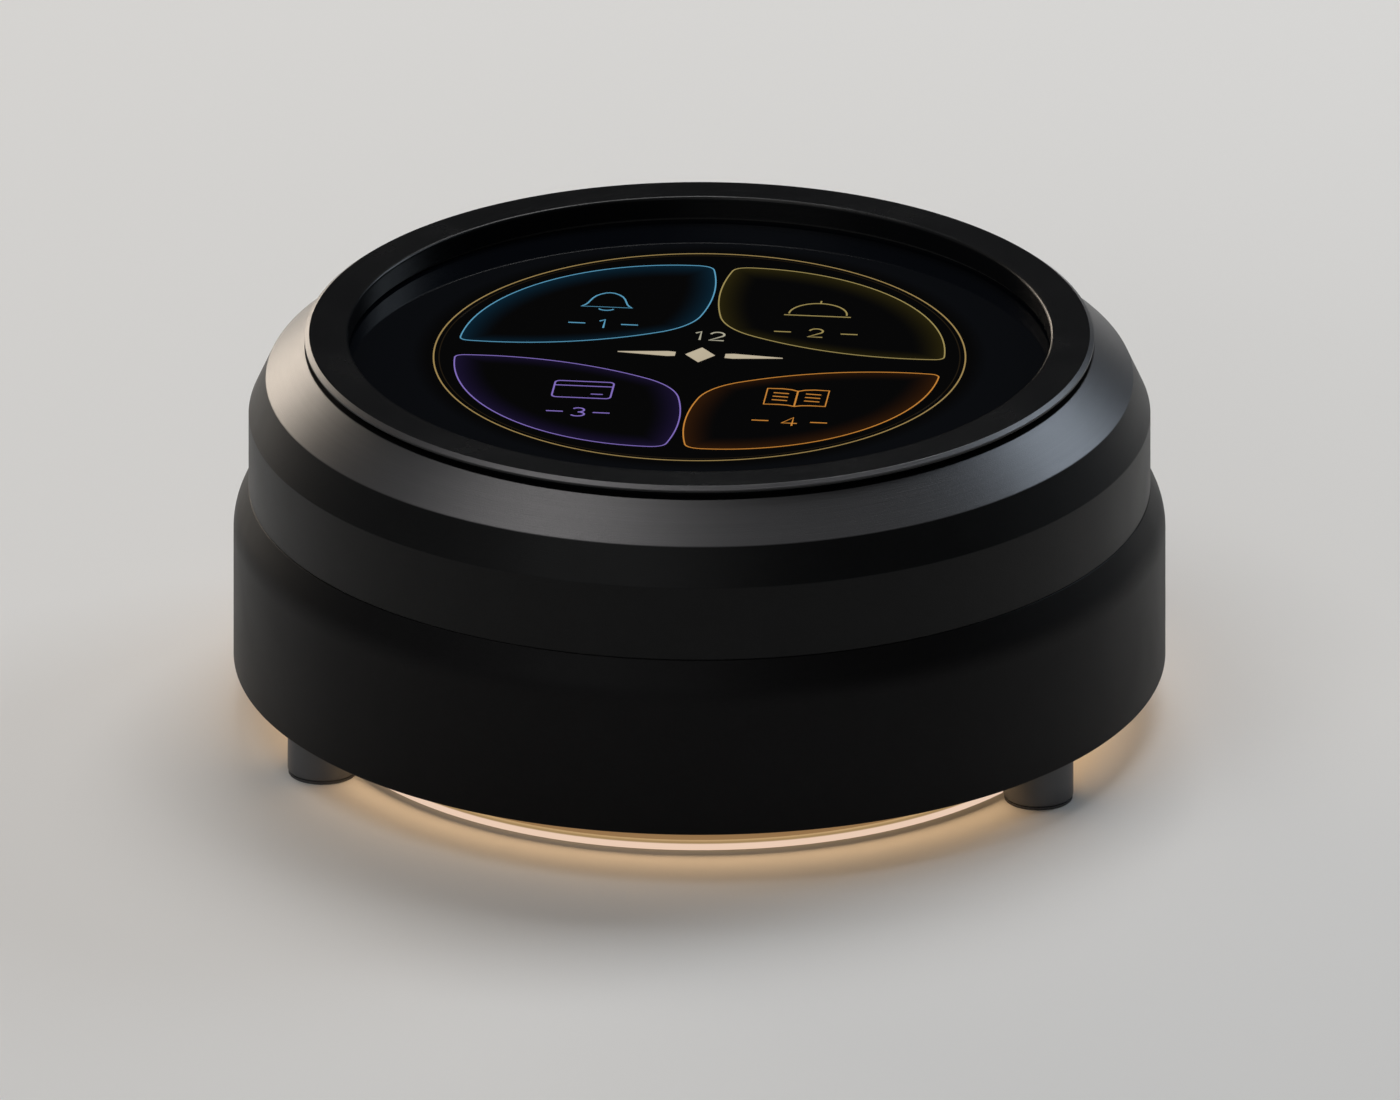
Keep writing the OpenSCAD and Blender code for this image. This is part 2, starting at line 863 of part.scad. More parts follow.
module board_screws() {
    color([0.6, 0.6, 0.62])
        for (p = standoff_places)
            translate(p)
                top_screw(board_screw_head_r, board_screw_head_h, board_screw_r,
                          z_board_top, z_board - board_screw_len);
}

module battery() {
    color([0.7, 0.72, 0.75])
        soft_block([battery_x, battery_y], battery_round, z_battery, z_battery + battery_h);
}

module battery_pad() {
    color([0.2, 0.2, 0.2])
        soft_block([battery_x, battery_y] - 2 * [pad_inset, pad_inset], battery_round / 2,
                   z_base_top, z_battery);
}

// Two wires from the battery's end up to a socket under the main board
module battery_lead() {
    z_exit = z_board - socket_h - lead_bend - lead_rise;
    color([0.7, 0.1, 0.08])
        for (side = [-1, 1])
            translate([battery_x / 2, side * lead_half, z_exit]) {
                rotate([0, 90, 0])
                    cylinder(r = lead_r, h = lead_run);
                translate([lead_run, 0, lead_bend])
                    rotate([90, 0, 0])
                        rotate([0, 0, -90])
                            rotate_extrude(angle = 90)
                                translate([lead_bend, 0])
                                    circle(r = lead_r);
                translate([lead_run + lead_bend, 0, lead_bend])
                    cylinder(r = lead_r, h = lead_rise);
            }
}

// Two wires from the light ring's board up to a socket under the main board
module light_lead() {
    color([0.85, 0.85, 0.8])
        for (side = [-1, 1])
            translate([-light_lead_r, side * lead_half, 0])
                disc(lead_r, z_led_board + led_board_t, z_board - socket_h);
}

module lead_sockets() {
    color([0.85, 0.83, 0.75]) {
        for (x = [battery_x / 2 + lead_run + lead_bend, -light_lead_r])
            translate([x, 0, 0])
                block(lead_socket_size, z_board - socket_h, z_board);
    }
}

// Power slider and reset button, on a small board behind the battery

module control_board() {
    color([0.04, 0.22, 0.1])
        translate([0, control_y, 0])
            difference() {
                block(control_size, z_control, z_control + control_t);
                for (x = [-1, 1])
                    translate([x * (control_size[0] / 2 - control_post_in), 0, 0])
                        disc(control_pin_r + fit_gap, z_control - past, z_control + control_t + past);
            }
}

module power_switch() {
    flange = stem_size + 2 * [slider_flange_w, slider_flange_w];
    run = [slider_travel + 2 * slider_gap, 2 * slider_gap];
    color([0.5, 0.5, 0.52])
        translate([power_x, control_y, 0])
            difference() {
                block(power_switch_size, z_base_top, z_control);
                block(stem_size + run, z_base_top - past, slider_flange_z);
                block(flange + run, slider_flange_z - slider_gap,
                      slider_flange_z + slider_flange_t + slider_gap);
            }
}

module power_slider() {
    flange = stem_size + 2 * [slider_flange_w, slider_flange_w];
    color([0.8, 0.8, 0.78])
        translate([power_x - slider_travel / 2, control_y, 0])
            union() {
                block(stem_size, foot_h - slider_out, slider_flange_z + eps);
                block(flange, slider_flange_z, slider_flange_z + slider_flange_t);
            }
}

module reset_switch() {
    color([0.3, 0.3, 0.32])
        translate([reset_x, control_y, 0])
            difference() {
                soft_block([reset_switch_w, reset_switch_w], switch_corner,
                           z_control - reset_body_h, z_control);
                disc(reset_pin_r + run_gap, z_control - reset_body_h - past, z_control - switch_floor);
            }
}

module reset_button() {
    z_flange = z_base_top + stop_gap;
    z_pin = z_control - switch_floor - reset_travel - stop_gap;
    color([0.6, 0.6, 0.6])
        translate([reset_x, control_y, 0])
            union() {
                disc(reset_r, foot_h + reset_sink, z_flange + eps);
                disc(reset_flange_r, z_flange, z_flange + reset_flange_t);
                disc(reset_pin_r, z_flange + reset_flange_t - eps, z_pin);
            }
}

// Base plate, light ring and feet

module base_plate() {
    color([0.08, 0.08, 0.09])
        difference() {
            union() {
                disc(base_r, foot_h, z_base_top);
                for (x = [-1, 1])
                    translate([x * (control_size[0] / 2 - control_post_in), control_y, 0]) {
                        disc(control_post_r, z_base_top - eps, z_control);
                        disc(control_pin_r, z_control - eps, z_control + control_t + control_pin_out);
                    }
            }
            around(3, boss_ring_r, boss_start) {
                disc(screw_hole_r, foot_h - past, z_base_top + past);
                disc(screw_head_r + fit_gap, foot_h - past, foot_h + screw_sink + screw_head_h);
            }
            around(3, foot_ring_r, guide_start)
                disc(screw_hole_r, foot_h - past, z_base_top + past);
            for (p = standoff_places)
                translate(p)
                    disc(stud_r + run_gap, z_base_top - stud_len, z_base_top + past);
            around(3, light_lead_r, 0)
                disc(peg_r + fit_gap, foot_h - past, z_base_top + past);
            for (side = [-1, 1])
                translate([-light_lead_r, side * lead_half, 0])
                    disc(lead_r + fit_gap, foot_h - past, z_base_top + past);
            translate([power_x, control_y, 0])
                block(stem_size + [slider_travel + 2 * slider_gap, 2 * slider_gap],
                      foot_h - past, z_base_top + past);
            translate([reset_x, control_y, 0])
                disc(reset_r + loose_gap, foot_h - past, z_base_top + past);
        }
}

module casing_screws() {
    color([0.15, 0.15, 0.16])
        around(3, boss_ring_r, boss_start)
            screw(screw_head_r, screw_head_h, screw_r, foot_h + screw_sink,
                  foot_h + screw_sink + screw_head_h + casing_screw_len);
}

// Space that each foot takes out of the light ring
module foot_reliefs() {
    around(3, foot_ring_r, guide_start)
        disc(foot_relief_r, -past, foot_h + past);
}

module light_channel() {
    color([0.85, 0.72, 0.55])
        difference() {
            union() {
                difference() {
                    ring(channel_r, light_in_r, z_bead, foot_h);
                    ring(channel_r - channel_t, light_in_r + channel_t,
                         z_bead - past, foot_h - channel_ceiling);
                }
                around(3, light_lead_r, 0)
                    disc(peg_r, foot_h - eps, z_base_top);
            }
            foot_reliefs();
            for (side = [-1, 1])
                translate([-light_lead_r, side * lead_half, 0])
                    disc(lead_r + fit_gap, z_bead, foot_h + past);
        }
}

module light_board() {
    color([0.9, 0.9, 0.88])
        ring(channel_r - channel_t - fit_gap, light_in_r + channel_t + fit_gap,
             z_led_board, z_led_board + led_board_t);
}

module light_leds() {
    color([1, 0.9, 0.7])
        around(led_count, light_lead_r, 180 / led_count)
            block(led_size, z_led_board - led_h, z_led_board);
}

module light_diffuser() {
    color([1, 0.85, 0.68])
        difference() {
            union() {
                turned([
                    [light_in_r, light_gap, bead_round],
                    [light_r, light_gap, bead_round],
                    [light_r, z_bead, fine_r],
                    [light_in_r, z_bead, 0]
                ]);
                ring(channel_r - channel_t - fit_gap, light_in_r + channel_t + fit_gap,
                     z_bead - eps, z_bead + diffuser_plug_h);
            }
            foot_reliefs();
        }
}

module feet() {
    color([0.2, 0.2, 0.21])
        around(3, foot_ring_r, guide_start)
            difference() {
                turned([
                    [0, pad_out, 0],
                    [foot_r, pad_out, edge_r],
                    [foot_r, foot_h, 0],
                    [0, foot_h, 0]
                ]);
                disc(screw_hole_r, -past, foot_h + past);
                disc(foot_head_r + fit_gap, -past, pad_t + foot_head_h);
                disc(foot_r - foot_lip, -past, pad_t);
            }
}

module foot_pads() {
    color([0.03, 0.03, 0.03])
        around(3, foot_ring_r, guide_start)
            disc(foot_r - foot_lip - run_gap, 0, pad_t);
}

module foot_screws() {
    color([0.6, 0.6, 0.62])
        around(3, foot_ring_r, guide_start)
            screw(foot_head_r, foot_head_h, screw_r, pad_t, z_base_top - screw_sink);
}

bezel_ring();
glass_gasket();
cover_glass();
touch_film();
display_panel();
display_foam();
display_carrier();
retaining_clip();
stop_washers();
stop_screws();
switch_plungers();
return_springs();
display_cable();
upper_casing();
guide_bushes();
switch_board();
switch_board_screws();
click_switches();
casing_seal();
lower_casing();
main_board();
processor_module();
board_chips();
cable_connector();
board_headers();
buzzer();
board_standoffs();
board_screws();
charging_socket();
socket_insert();
battery();
battery_pad();
battery_lead();
light_lead();
lead_sockets();
control_board();
power_switch();
power_slider();
reset_switch();
reset_button();
base_plate();
casing_screws();
light_channel();
light_board();
light_leds();
light_diffuser();
feet();
foot_pads();
foot_screws();
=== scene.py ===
# %% [markdown]
# # A round table call button
# The object is a black puck that stands on three feet. Its whole top, a round display behind
# glass in a black ring, clicks down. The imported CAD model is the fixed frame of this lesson:
# it is loaded once, and every piece made here goes where it says.

# %% Load the frame
import math

import bmesh
import bpy
import numpy as np
from mathutils import Matrix, Vector


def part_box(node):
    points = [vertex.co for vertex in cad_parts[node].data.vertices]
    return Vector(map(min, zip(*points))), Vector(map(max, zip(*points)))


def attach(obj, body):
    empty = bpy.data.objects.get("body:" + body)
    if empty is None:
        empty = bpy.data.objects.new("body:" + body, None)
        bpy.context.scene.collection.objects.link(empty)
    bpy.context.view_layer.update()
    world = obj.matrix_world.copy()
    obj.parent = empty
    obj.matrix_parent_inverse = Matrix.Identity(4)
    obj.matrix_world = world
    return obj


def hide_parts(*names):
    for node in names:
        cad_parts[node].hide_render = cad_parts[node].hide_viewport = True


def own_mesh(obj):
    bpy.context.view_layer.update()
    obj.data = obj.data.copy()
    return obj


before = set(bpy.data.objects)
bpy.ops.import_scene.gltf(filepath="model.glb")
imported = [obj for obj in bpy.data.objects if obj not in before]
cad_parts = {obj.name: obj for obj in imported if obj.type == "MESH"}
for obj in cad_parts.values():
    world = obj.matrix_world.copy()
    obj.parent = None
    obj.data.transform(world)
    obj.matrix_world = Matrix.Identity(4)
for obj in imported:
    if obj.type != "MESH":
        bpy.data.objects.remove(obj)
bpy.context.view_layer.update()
MM = 0.001


# %% [markdown]
# The main sizes come from the frame. Three short helpers read a node's top, its underside and
# how far it reaches from the middle, in millimetres, which is how a maker thinks of such a part.

# %% Read sizes in millimetres
def top(node):
    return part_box(node)[1].z / MM


def under(node):
    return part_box(node)[0].z / MM


def reach(node):
    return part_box(node)[1].x / MM


body_r = reach("lower_casing")
total_h = top("bezel_ring")
glass_z = top("cover_glass")
print(f"body {2 * body_r:.1f} mm across, {total_h:.1f} mm high, glass at {glass_z:.2f} mm")

# %% [markdown]
# An object shows only once it is linked to the scene. Every object made here takes this way.

# %% Add an object
def add(name, data):
    made = bpy.data.objects.new(name, data)
    bpy.context.scene.collection.objects.link(made)
    return made


# %% [markdown]
# The camera comes first. The photo shows the object with no vanishing point, so an
# orthographic camera fits: it looks down by 22.9 degrees and stands a little to the right.
# Its width covers 140 mm, because the photo shows ten pixels to the millimetre.

# %% Make the camera
camera_down = math.radians(22.9)
camera_turn = math.radians(5.25)
frame_width = 140 * MM
aim = Vector((0.05 * MM, 0, 16.74 * MM))
camera_distance = 0.6

camera_data = bpy.data.cameras.new("camera")
camera_data.type = "ORTHO"
camera_data.ortho_scale = frame_width
camera = add("camera", camera_data)
back = Vector((
    math.sin(camera_turn) * math.cos(camera_down),
    -math.cos(camera_turn) * math.cos(camera_down),
    math.sin(camera_down),
))
camera.location = aim + back * camera_distance
camera.rotation_euler = (-back).to_track_quat("-Z", "Y").to_euler()
bpy.context.scene.camera = camera
print("camera at", [round(c, 3) for c in camera.location])


# %% [markdown]
# Node trees read best when each node is one line. The put helper adds a node, sets its options
# and fills its inputs: a value is written into the socket, and another node's output is linked
# to it. It serves shader trees and geometry trees alike. The others do sums, vary a value by a
# mask, start a group with its sockets and say how many nodes a finished tree has.

# %% Add a node in one line
def fill(tree, node, inputs):
    for key, value in inputs.items():
        if isinstance(value, bpy.types.NodeSocket):
            tree.links.new(value, node.inputs[key])
        else:
            node.inputs[key].default_value = value


def put(tree, kind, inputs=None, **options):
    node = tree.nodes.new(kind)
    for key, value in options.items():
        setattr(node, key, value)
    fill(tree, node, inputs or {})
    return node


def calc(tree, operation, a, b=0.0, c=0.0, clamp=False):
    return put(tree, "ShaderNodeMath", {0: a, 1: b, 2: c}, operation=operation,
               use_clamp=clamp).outputs[0]


def vary(tree, mask, by, around, clamp=False):
    return calc(tree, "MULTIPLY_ADD", mask, by, around, clamp)


def new_group(name, kind, inputs, outputs):
    tree = bpy.data.node_groups.new(name, kind)
    for label, socket in inputs:
        tree.interface.new_socket(label, in_out="INPUT", socket_type="NodeSocket" + socket)
    for label, socket in outputs:
        tree.interface.new_socket(label, in_out="OUTPUT", socket_type="NodeSocket" + socket)
    given = tree.nodes.new("NodeGroupInput").outputs
    result = tree.nodes.new("NodeGroupOutput").inputs
    return tree, given, result


def built(tree):
    print(tree.name, "tree has", len(tree.nodes), "nodes")
    return tree


# %% [markdown]
# Patterns are placed by a piece's Object coordinates. A few more short helpers read them, find
# the distance from the upright axis, give a cloudy noise, spread a value over a range and turn
# a height into bumps. A pattern's scale counts how often it repeats in a metre, so a size in
# millimetres divides a thousand.

# %% Places, noise, ranges and bumps
def place_on(tree):
    return put(tree, "ShaderNodeTexCoord").outputs["Object"]


def axes_of(tree, place):
    return put(tree, "ShaderNodeSeparateXYZ", {0: place}).outputs


def from_axis(tree, axes):
    flat = put(tree, "ShaderNodeCombineXYZ", {0: axes[0], 1: axes[1]}).outputs[0]
    return put(tree, "ShaderNodeVectorMath", {0: flat}, operation="LENGTH").outputs["Value"]


def per_metre(tree, size_mm):
    return calc(tree, "DIVIDE", 1000.0, size_mm)


def noise(tree, place, scale, detail, **more):
    values = {"Vector": place, "Scale": scale, "Detail": detail, **more}
    return put(tree, "ShaderNodeTexNoise", values).outputs["Fac"]


def ramp(tree, value, low, high, first=0.0, last=1.0):
    return put(tree, "ShaderNodeMapRange", {
        "Value": value, "From Min": low, "From Max": high, "To Min": first, "To Max": last,
    }).outputs[0]


def bumps(tree, height, depth_mm, strength=0.5):
    return put(tree, "ShaderNodeBump", {
        "Height": height, "Distance": depth_mm * MM, "Strength": strength}).outputs[0]


# %% [markdown]
# Plain colours are written as they look on a screen and turned into the linear values that
# Blender works with.

# %% Turn a screen colour into a linear one
def screen(r, g, b):
    def line(c):
        c = c / 255
        return c / 12.92 if c <= 0.04045 else ((c + 0.055) / 1.055) ** 2.4
    return line(r), line(g), line(b), 1.0


print("mid grey is", round(screen(128, 128, 128)[0], 3))

# %% [markdown]
# A satin black part isn't evenly black. Four effects give it its finish, and each is a node
# group that many materials share: a fine grain as of blasted or moulded surfaces, the faint
# lines that turning leaves round the axis, edges a shade lighter and smoother, partly where hands
# rub and partly as a painted highlight, and soft smudges. Groups put out masks and heights only,
# so each material decides what they do.
# The turned lines are noise over radius, height and a small share of the angle, which draws the
# noise out round the axis.

# %% Grain
tone_coarser = 25.0


def grain_group():
    tree, given, result = new_group(
        "grain", "ShaderNodeTree",
        [("Size mm", "Float"), ("Detail", "Float")], [("Height", "Float"), ("Tone", "Float")])
    place = place_on(tree)
    scale = per_metre(tree, given["Size mm"])
    fine = noise(tree, place, scale, given["Detail"], Roughness=0.6)
    wide = noise(tree, place, calc(tree, "DIVIDE", scale, tone_coarser), 3.0)
    tree.links.new(fine, result["Height"])
    tree.links.new(wide, result["Tone"])
    return tree


grain = built(grain_group())


# %% Turned lines
angle_share = 0.0006


def turned_lines_group():
    tree, given, result = new_group(
        "turned_lines", "ShaderNodeTree", [("Spacing mm", "Float")], [("Height", "Float")])
    axes = axes_of(tree, place_on(tree))
    radius = from_axis(tree, axes)
    angle = calc(tree, "ARCTAN2", axes[1], axes[0])
    around = put(tree, "ShaderNodeCombineXYZ",
                 {0: radius, 1: axes[2], 2: calc(tree, "MULTIPLY", angle, angle_share)})
    lines = noise(tree, around.outputs[0], per_metre(tree, given["Spacing mm"]), 2.0)
    tree.links.new(lines, result["Height"])
    return tree


turned_lines = built(turned_lines_group())


# %% Worn edges and a painted edge highlight
patch_scale = 260.0
edge_gain = 7.0


def edges_group():
    tree, given, result = new_group(
        "worn_and_highlit_edges", "ShaderNodeTree", [("Width mm", "Float")], [("Mask", "Float")])
    width = calc(tree, "MULTIPLY", given["Width mm"], MM)
    # The mask rises along edges. Materials use it for a lighter colour that is partly worn and partly
    # a painted highlight.
    soft = put(tree, "ShaderNodeBevel", {"Radius": width}, samples=6).outputs[0]
    sharp = put(tree, "ShaderNodeNewGeometry").outputs["Normal"]
    alike = put(tree, "ShaderNodeVectorMath", {0: soft, 1: sharp}, operation="DOT_PRODUCT")
    bend = calc(tree, "SUBTRACT", 1.0, alike.outputs["Value"])
    broken = vary(tree, noise(tree, place_on(tree), patch_scale, 4.0), by=1.2, around=0.2)
    mask = calc(tree, "MULTIPLY", calc(tree, "MULTIPLY", bend, edge_gain), broken, clamp=True)
    tree.links.new(mask, result["Mask"])
    return tree


worn_and_highlit_edges = built(edges_group())


# %% Smudges
def smudges_group():
    tree, given, result = new_group(
        "smudges", "ShaderNodeTree", [("Size mm", "Float")], [("Mask", "Float")])
    blots = noise(tree, place_on(tree), per_metre(tree, given["Size mm"]), 5.0, Distortion=0.8)
    mask = vary(tree, blots, by=3.0, around=-1.2, clamp=True)
    tree.links.new(mask, result["Mask"])
    return tree


smudges = built(smudges_group())


# %% [markdown]
# Most finishes here are one of a few kinds. A kind is a function: it makes a material with a
# Principled shader and places the groups in it with its own values.

# %% Start a material
def blank(name):
    made = bpy.data.materials.new(name)
    made.use_nodes = True
    tree = made.node_tree
    return made, tree, tree.nodes["Principled BSDF"]


def use(tree, group, **values):
    node = tree.nodes.new("ShaderNodeGroup")
    node.node_tree = group
    for key, value in values.items():
        node.inputs[key.replace("_", " ")].default_value = value
    return node.outputs


def blend_colour(tree, mask, a, b):
    return put(tree, "ShaderNodeMix", {0: mask, 6: a, 7: b}, data_type="RGBA").outputs[2]


def shade(colour, factor):
    return tuple(c * factor for c in colour[:3]) + (1.0,)


def toned(tree, mask, colour, dark, light):
    return blend_colour(tree, mask, shade(colour, dark), shade(colour, light))


# %% [markdown]
# Satin is the finish of the casings and the ring: a dark colour that varies a little, a soft
# gloss broken by fine grain, faint turned lines where the part is turned, and edges that are
# smoother where hands rub and a shade lighter, partly from that rubbing and partly as a painted
# highlight.

# %% Satin finish
def satin(name, colour, rough, grain_mm=0.12, depth=0.02, lines=0.0, wear_and_highlight=0.5, metal=0.0,
          shine=0.5):
    made, tree, base = blank(name)
    skin = use(tree, grain, Size_mm=grain_mm, Detail=3.0)
    edge_wear_and_highlight = use(tree, worn_and_highlit_edges, Width_mm=0.18)["Mask"]
    marks = use(tree, smudges, Size_mm=14.0)["Mask"]
    clouded = toned(tree, skin["Tone"], colour, dark=0.8, light=1.25)
    # Along edges the colour turns lighter, partly as worn edges and partly as a painted highlight, and
    # the surface turns smoother.
    edge = calc(tree, "MULTIPLY", edge_wear_and_highlight, wear_and_highlight)
    gloss = vary(tree, marks, by=0.05, around=rough)
    height = skin["Height"]
    if lines:
        turned_height = use(tree, turned_lines, Spacing_mm=0.09)["Height"]
        height = vary(tree, turned_height, by=lines, around=height)
    fill(tree, base, {
        "Base Color": blend_colour(tree, edge, clouded, shade(colour, 3.0)),
        "Roughness": vary(tree, edge, by=-0.12, around=gloss), "Metallic": metal,
        "Specular IOR Level": shine, "Normal": bumps(tree, height, depth, strength=0.6)})
    return made


# %% [markdown]
# Two slopes were left as they came from the lathe: the casing's cone, and the ring's chamfered
# lip. Under a thin dark skin their metal still throws light back. A mask by height and radius
# tells such a slope from the rest, and drives how metallic and how smooth the surface is.

# %% Bare a slope's metal
dark_below = 0.12
bright_above = 0.02


def bright_slope(made, low_z, inner_r, tone=screen(92, 92, 94), bare_rough=0.38):
    tree, base = made.node_tree, made.node_tree.nodes["Principled BSDF"]
    axes = axes_of(tree, place_on(tree))
    high = ramp(tree, axes[2], (low_z - dark_below) * MM, (low_z + bright_above) * MM)
    outside = calc(tree, "GREATER_THAN", from_axis(tree, axes), inner_r * MM)
    slope = calc(tree, "MULTIPLY", high, outside)
    skin = base.inputs["Base Color"].links[0].from_socket
    rough = base.inputs["Roughness"].links[0].from_socket
    brushed = use(tree, turned_lines, Spacing_mm=0.35)["Height"]
    bare = toned(tree, brushed, tone, dark=0.93, light=1.07)
    fill(tree, base, {
        "Base Color": blend_colour(tree, slope, skin, bare), "Metallic": slope,
        "Roughness": put(tree, "ShaderNodeMix", {0: slope, 2: rough, 3: bare_rough}).outputs[0]})
    return made


# %% [markdown]
# Metal parts differ in colour and gloss, and moulded ones in their grain too. Rubber and foam
# are matt, with open pores.

# %% Metal, moulded and soft finishes
def metal(name, colour, rough=0.3, grain_mm=0.08):
    return satin(name, colour, rough, grain_mm=grain_mm, depth=0.006, lines=0.6, wear_and_highlight=0.25,
                 metal=1.0)


def moulded(name, colour, rough=0.5, grain_mm=0.15, depth=0.02):
    return satin(name, colour, rough, grain_mm=grain_mm, depth=depth, wear_and_highlight=0.25)


def porous(name, colour, pore_mm, depth):
    made, tree, base = blank(name)
    pores = put(tree, "ShaderNodeTexVoronoi",
                {"Vector": place_on(tree), "Scale": 1000 / pore_mm}).outputs["Distance"]
    skin = use(tree, grain, Size_mm=pore_mm * 0.7, Detail=4.0)
    height = vary(tree, skin["Height"], by=0.5, around=pores)
    fill(tree, base, {
        "Base Color": toned(tree, pores, colour, dark=0.6, light=1.3),
        "Roughness": vary(tree, skin["Tone"], by=0.2, around=0.65),
        "Normal": bumps(tree, height, depth, strength=0.7)})
    return made


# %% [markdown]
# The cover glass is printed black from behind, outside the display's clear window. Seen from
# above both are black, but the print is a shade bluer than the window, which looks into the
# dark display. The glass has a coating against reflections, which a lower index of refraction
# stands for.

# %% Printed glass
coated_ior = 1.3
glass_black = (0.0004, 0.0004, 0.0005, 1)
print_black = (0.002, 0.0026, 0.004, 1)
clear_r = 28.0
print_blur = 0.8


def glass_gloss(tree):
    marks = use(tree, smudges, Size_mm=9.0)["Mask"]
    return marks, vary(tree, marks, by=0.025, around=0.03)


def printed_glass(name):
    made, tree, base = blank(name)
    radius = from_axis(tree, axes_of(tree, place_on(tree)))
    printed = ramp(tree, radius, (clear_r - print_blur) * MM, (clear_r + print_blur) * MM)
    fill(tree, base, {
        "Base Color": blend_colour(tree, printed, glass_black, print_black),
        "Roughness": glass_gloss(tree)[1], "IOR": coated_ior})
    return made


# %% [markdown]
# Circuit boards carry a pattern of tracks under their solder mask: a raised, lighter net of
# straight lines with round pads.

# %% Circuit board
def board(name, colour, track):
    made, tree, base = blank(name)
    place = place_on(tree)
    lines = put(tree, "ShaderNodeTexBrick", {
        "Vector": place, "Scale": 260.0, "Mortar Size": 0.06, "Brick Width": 0.9,
        "Row Height": 0.25, "Color1": (0, 0, 0, 1), "Color2": (0, 0, 0, 1), "Mortar": (1, 1, 1, 1),
    }).outputs["Color"]
    cells = put(tree, "ShaderNodeTexVoronoi", {"Vector": place, "Scale": 320.0})
    pads = calc(tree, "LESS_THAN", cells.outputs["Distance"], 0.12)
    mask = calc(tree, "MAXIMUM", calc(tree, "MULTIPLY", lines, 0.5), pads)
    fill(tree, base, {
        "Base Color": blend_colour(tree, mask, colour, track),
        "Metallic": calc(tree, "MULTIPLY", pads, 0.9),
        "Roughness": vary(tree, pads, by=-0.1, around=0.4),
        "Normal": bumps(tree, mask, 0.03)})
    return made


# %% [markdown]
# The battery is a pouch of crinkled foil, and the flat display cable is amber film over fine
# copper tracks that run along it.

# %% Foil and cable film
def foil(name):
    made, tree, base = blank(name)
    folds = noise(tree, place_on(tree), 220.0, 6.0, Distortion=1.5)
    fill(tree, base, {
        "Base Color": blend_colour(tree, folds, screen(150, 154, 160), screen(205, 207, 210)),
        "Roughness": vary(tree, folds, by=0.25, around=0.2), "Metallic": 1.0,
        "Normal": bumps(tree, folds, 0.25)})
    return made


def film_cable(name):
    made, tree, base = blank(name)
    tracks = put(tree, "ShaderNodeTexWave", {"Vector": place_on(tree), "Scale": 330.0},
                 bands_direction="X").outputs["Fac"]
    fill(tree, base, {
        "Base Color": blend_colour(tree, tracks, screen(150, 88, 24), screen(222, 150, 60)),
        "Roughness": 0.3, "Normal": bumps(tree, tracks, 0.02)})
    return made


# %% [markdown]
# Things that shine need an emission. The camera should see the light ring's own warm colour,
# while the floor under the unit gets a light of its own: the Light Path node tells the two
# kinds of rays apart. The channel is dimmer towards its root, and the bead below it is tan
# along its upper edge, where it meets the channel.

# %% Glowing plastic
def glowing(name, body, seen, thrown, dim=None, z_dim=0.0, z_bright=0.0):
    made, tree, base = blank(name)
    tone = use(tree, grain, Size_mm=0.3, Detail=2.0)["Tone"]
    colour = toned(tree, tone, seen, dark=0.95, light=1.0)
    if dim:
        height = axes_of(tree, place_on(tree))[2]
        colour = blend_colour(tree, ramp(tree, height, z_dim * MM, z_bright * MM), dim, colour)
    camera_ray = put(tree, "ShaderNodeLightPath").outputs["Is Camera Ray"]
    fill(tree, base, {
        "Base Color": toned(tree, tone, body, dark=0.85, light=1.0),
        "Emission Color": blend_colour(tree, camera_ray, thrown, colour),
        "Emission Strength": 1.0, "Roughness": 0.45, "Specular IOR Level": 0.1})
    return made


# %% [markdown]
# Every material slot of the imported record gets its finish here, and the feet's soles a paler
# rubber of their own. Metals and plain plastics differ only in colour and gloss, so they stand in
# two tables of red, green, blue and roughness. Each node of the frame then takes the finish of
# its own slot.

# %% One finish for each slot
glow_on_floor = (1.0, 0.66, 0.36, 1.0)
bezel_r = reach("bezel_ring")
lip_w = 0.45
lip_h = 0.34
cone_low_z = 35.45
metals = {
    "steel": (188, 188, 190, 0.3),
    "black_steel": (62, 62, 66, 0.38),
    "spring_steel": (176, 178, 182, 0.22),
    "shell_steel": (196, 197, 200, 0.26),
    "can_steel": (200, 201, 204, 0.35),
    "switch_steel": (150, 152, 156, 0.32),
    "brass": (205, 165, 85, 0.28),
}
plastics = {
    "carrier_black": (30, 30, 32, 0.5),
    "touch_film": (40, 44, 50, 0.15),
    "display_black": (8, 8, 10, 0.12),
    "moulded_black": (26, 26, 27, 0.4),
    "moulded_cream": (222, 215, 190, 0.45),
    "plunger_white": (222, 222, 215, 0.4),
    "slider_grey": (196, 196, 190, 0.45),
    "reset_grey": (150, 150, 150, 0.45),
}
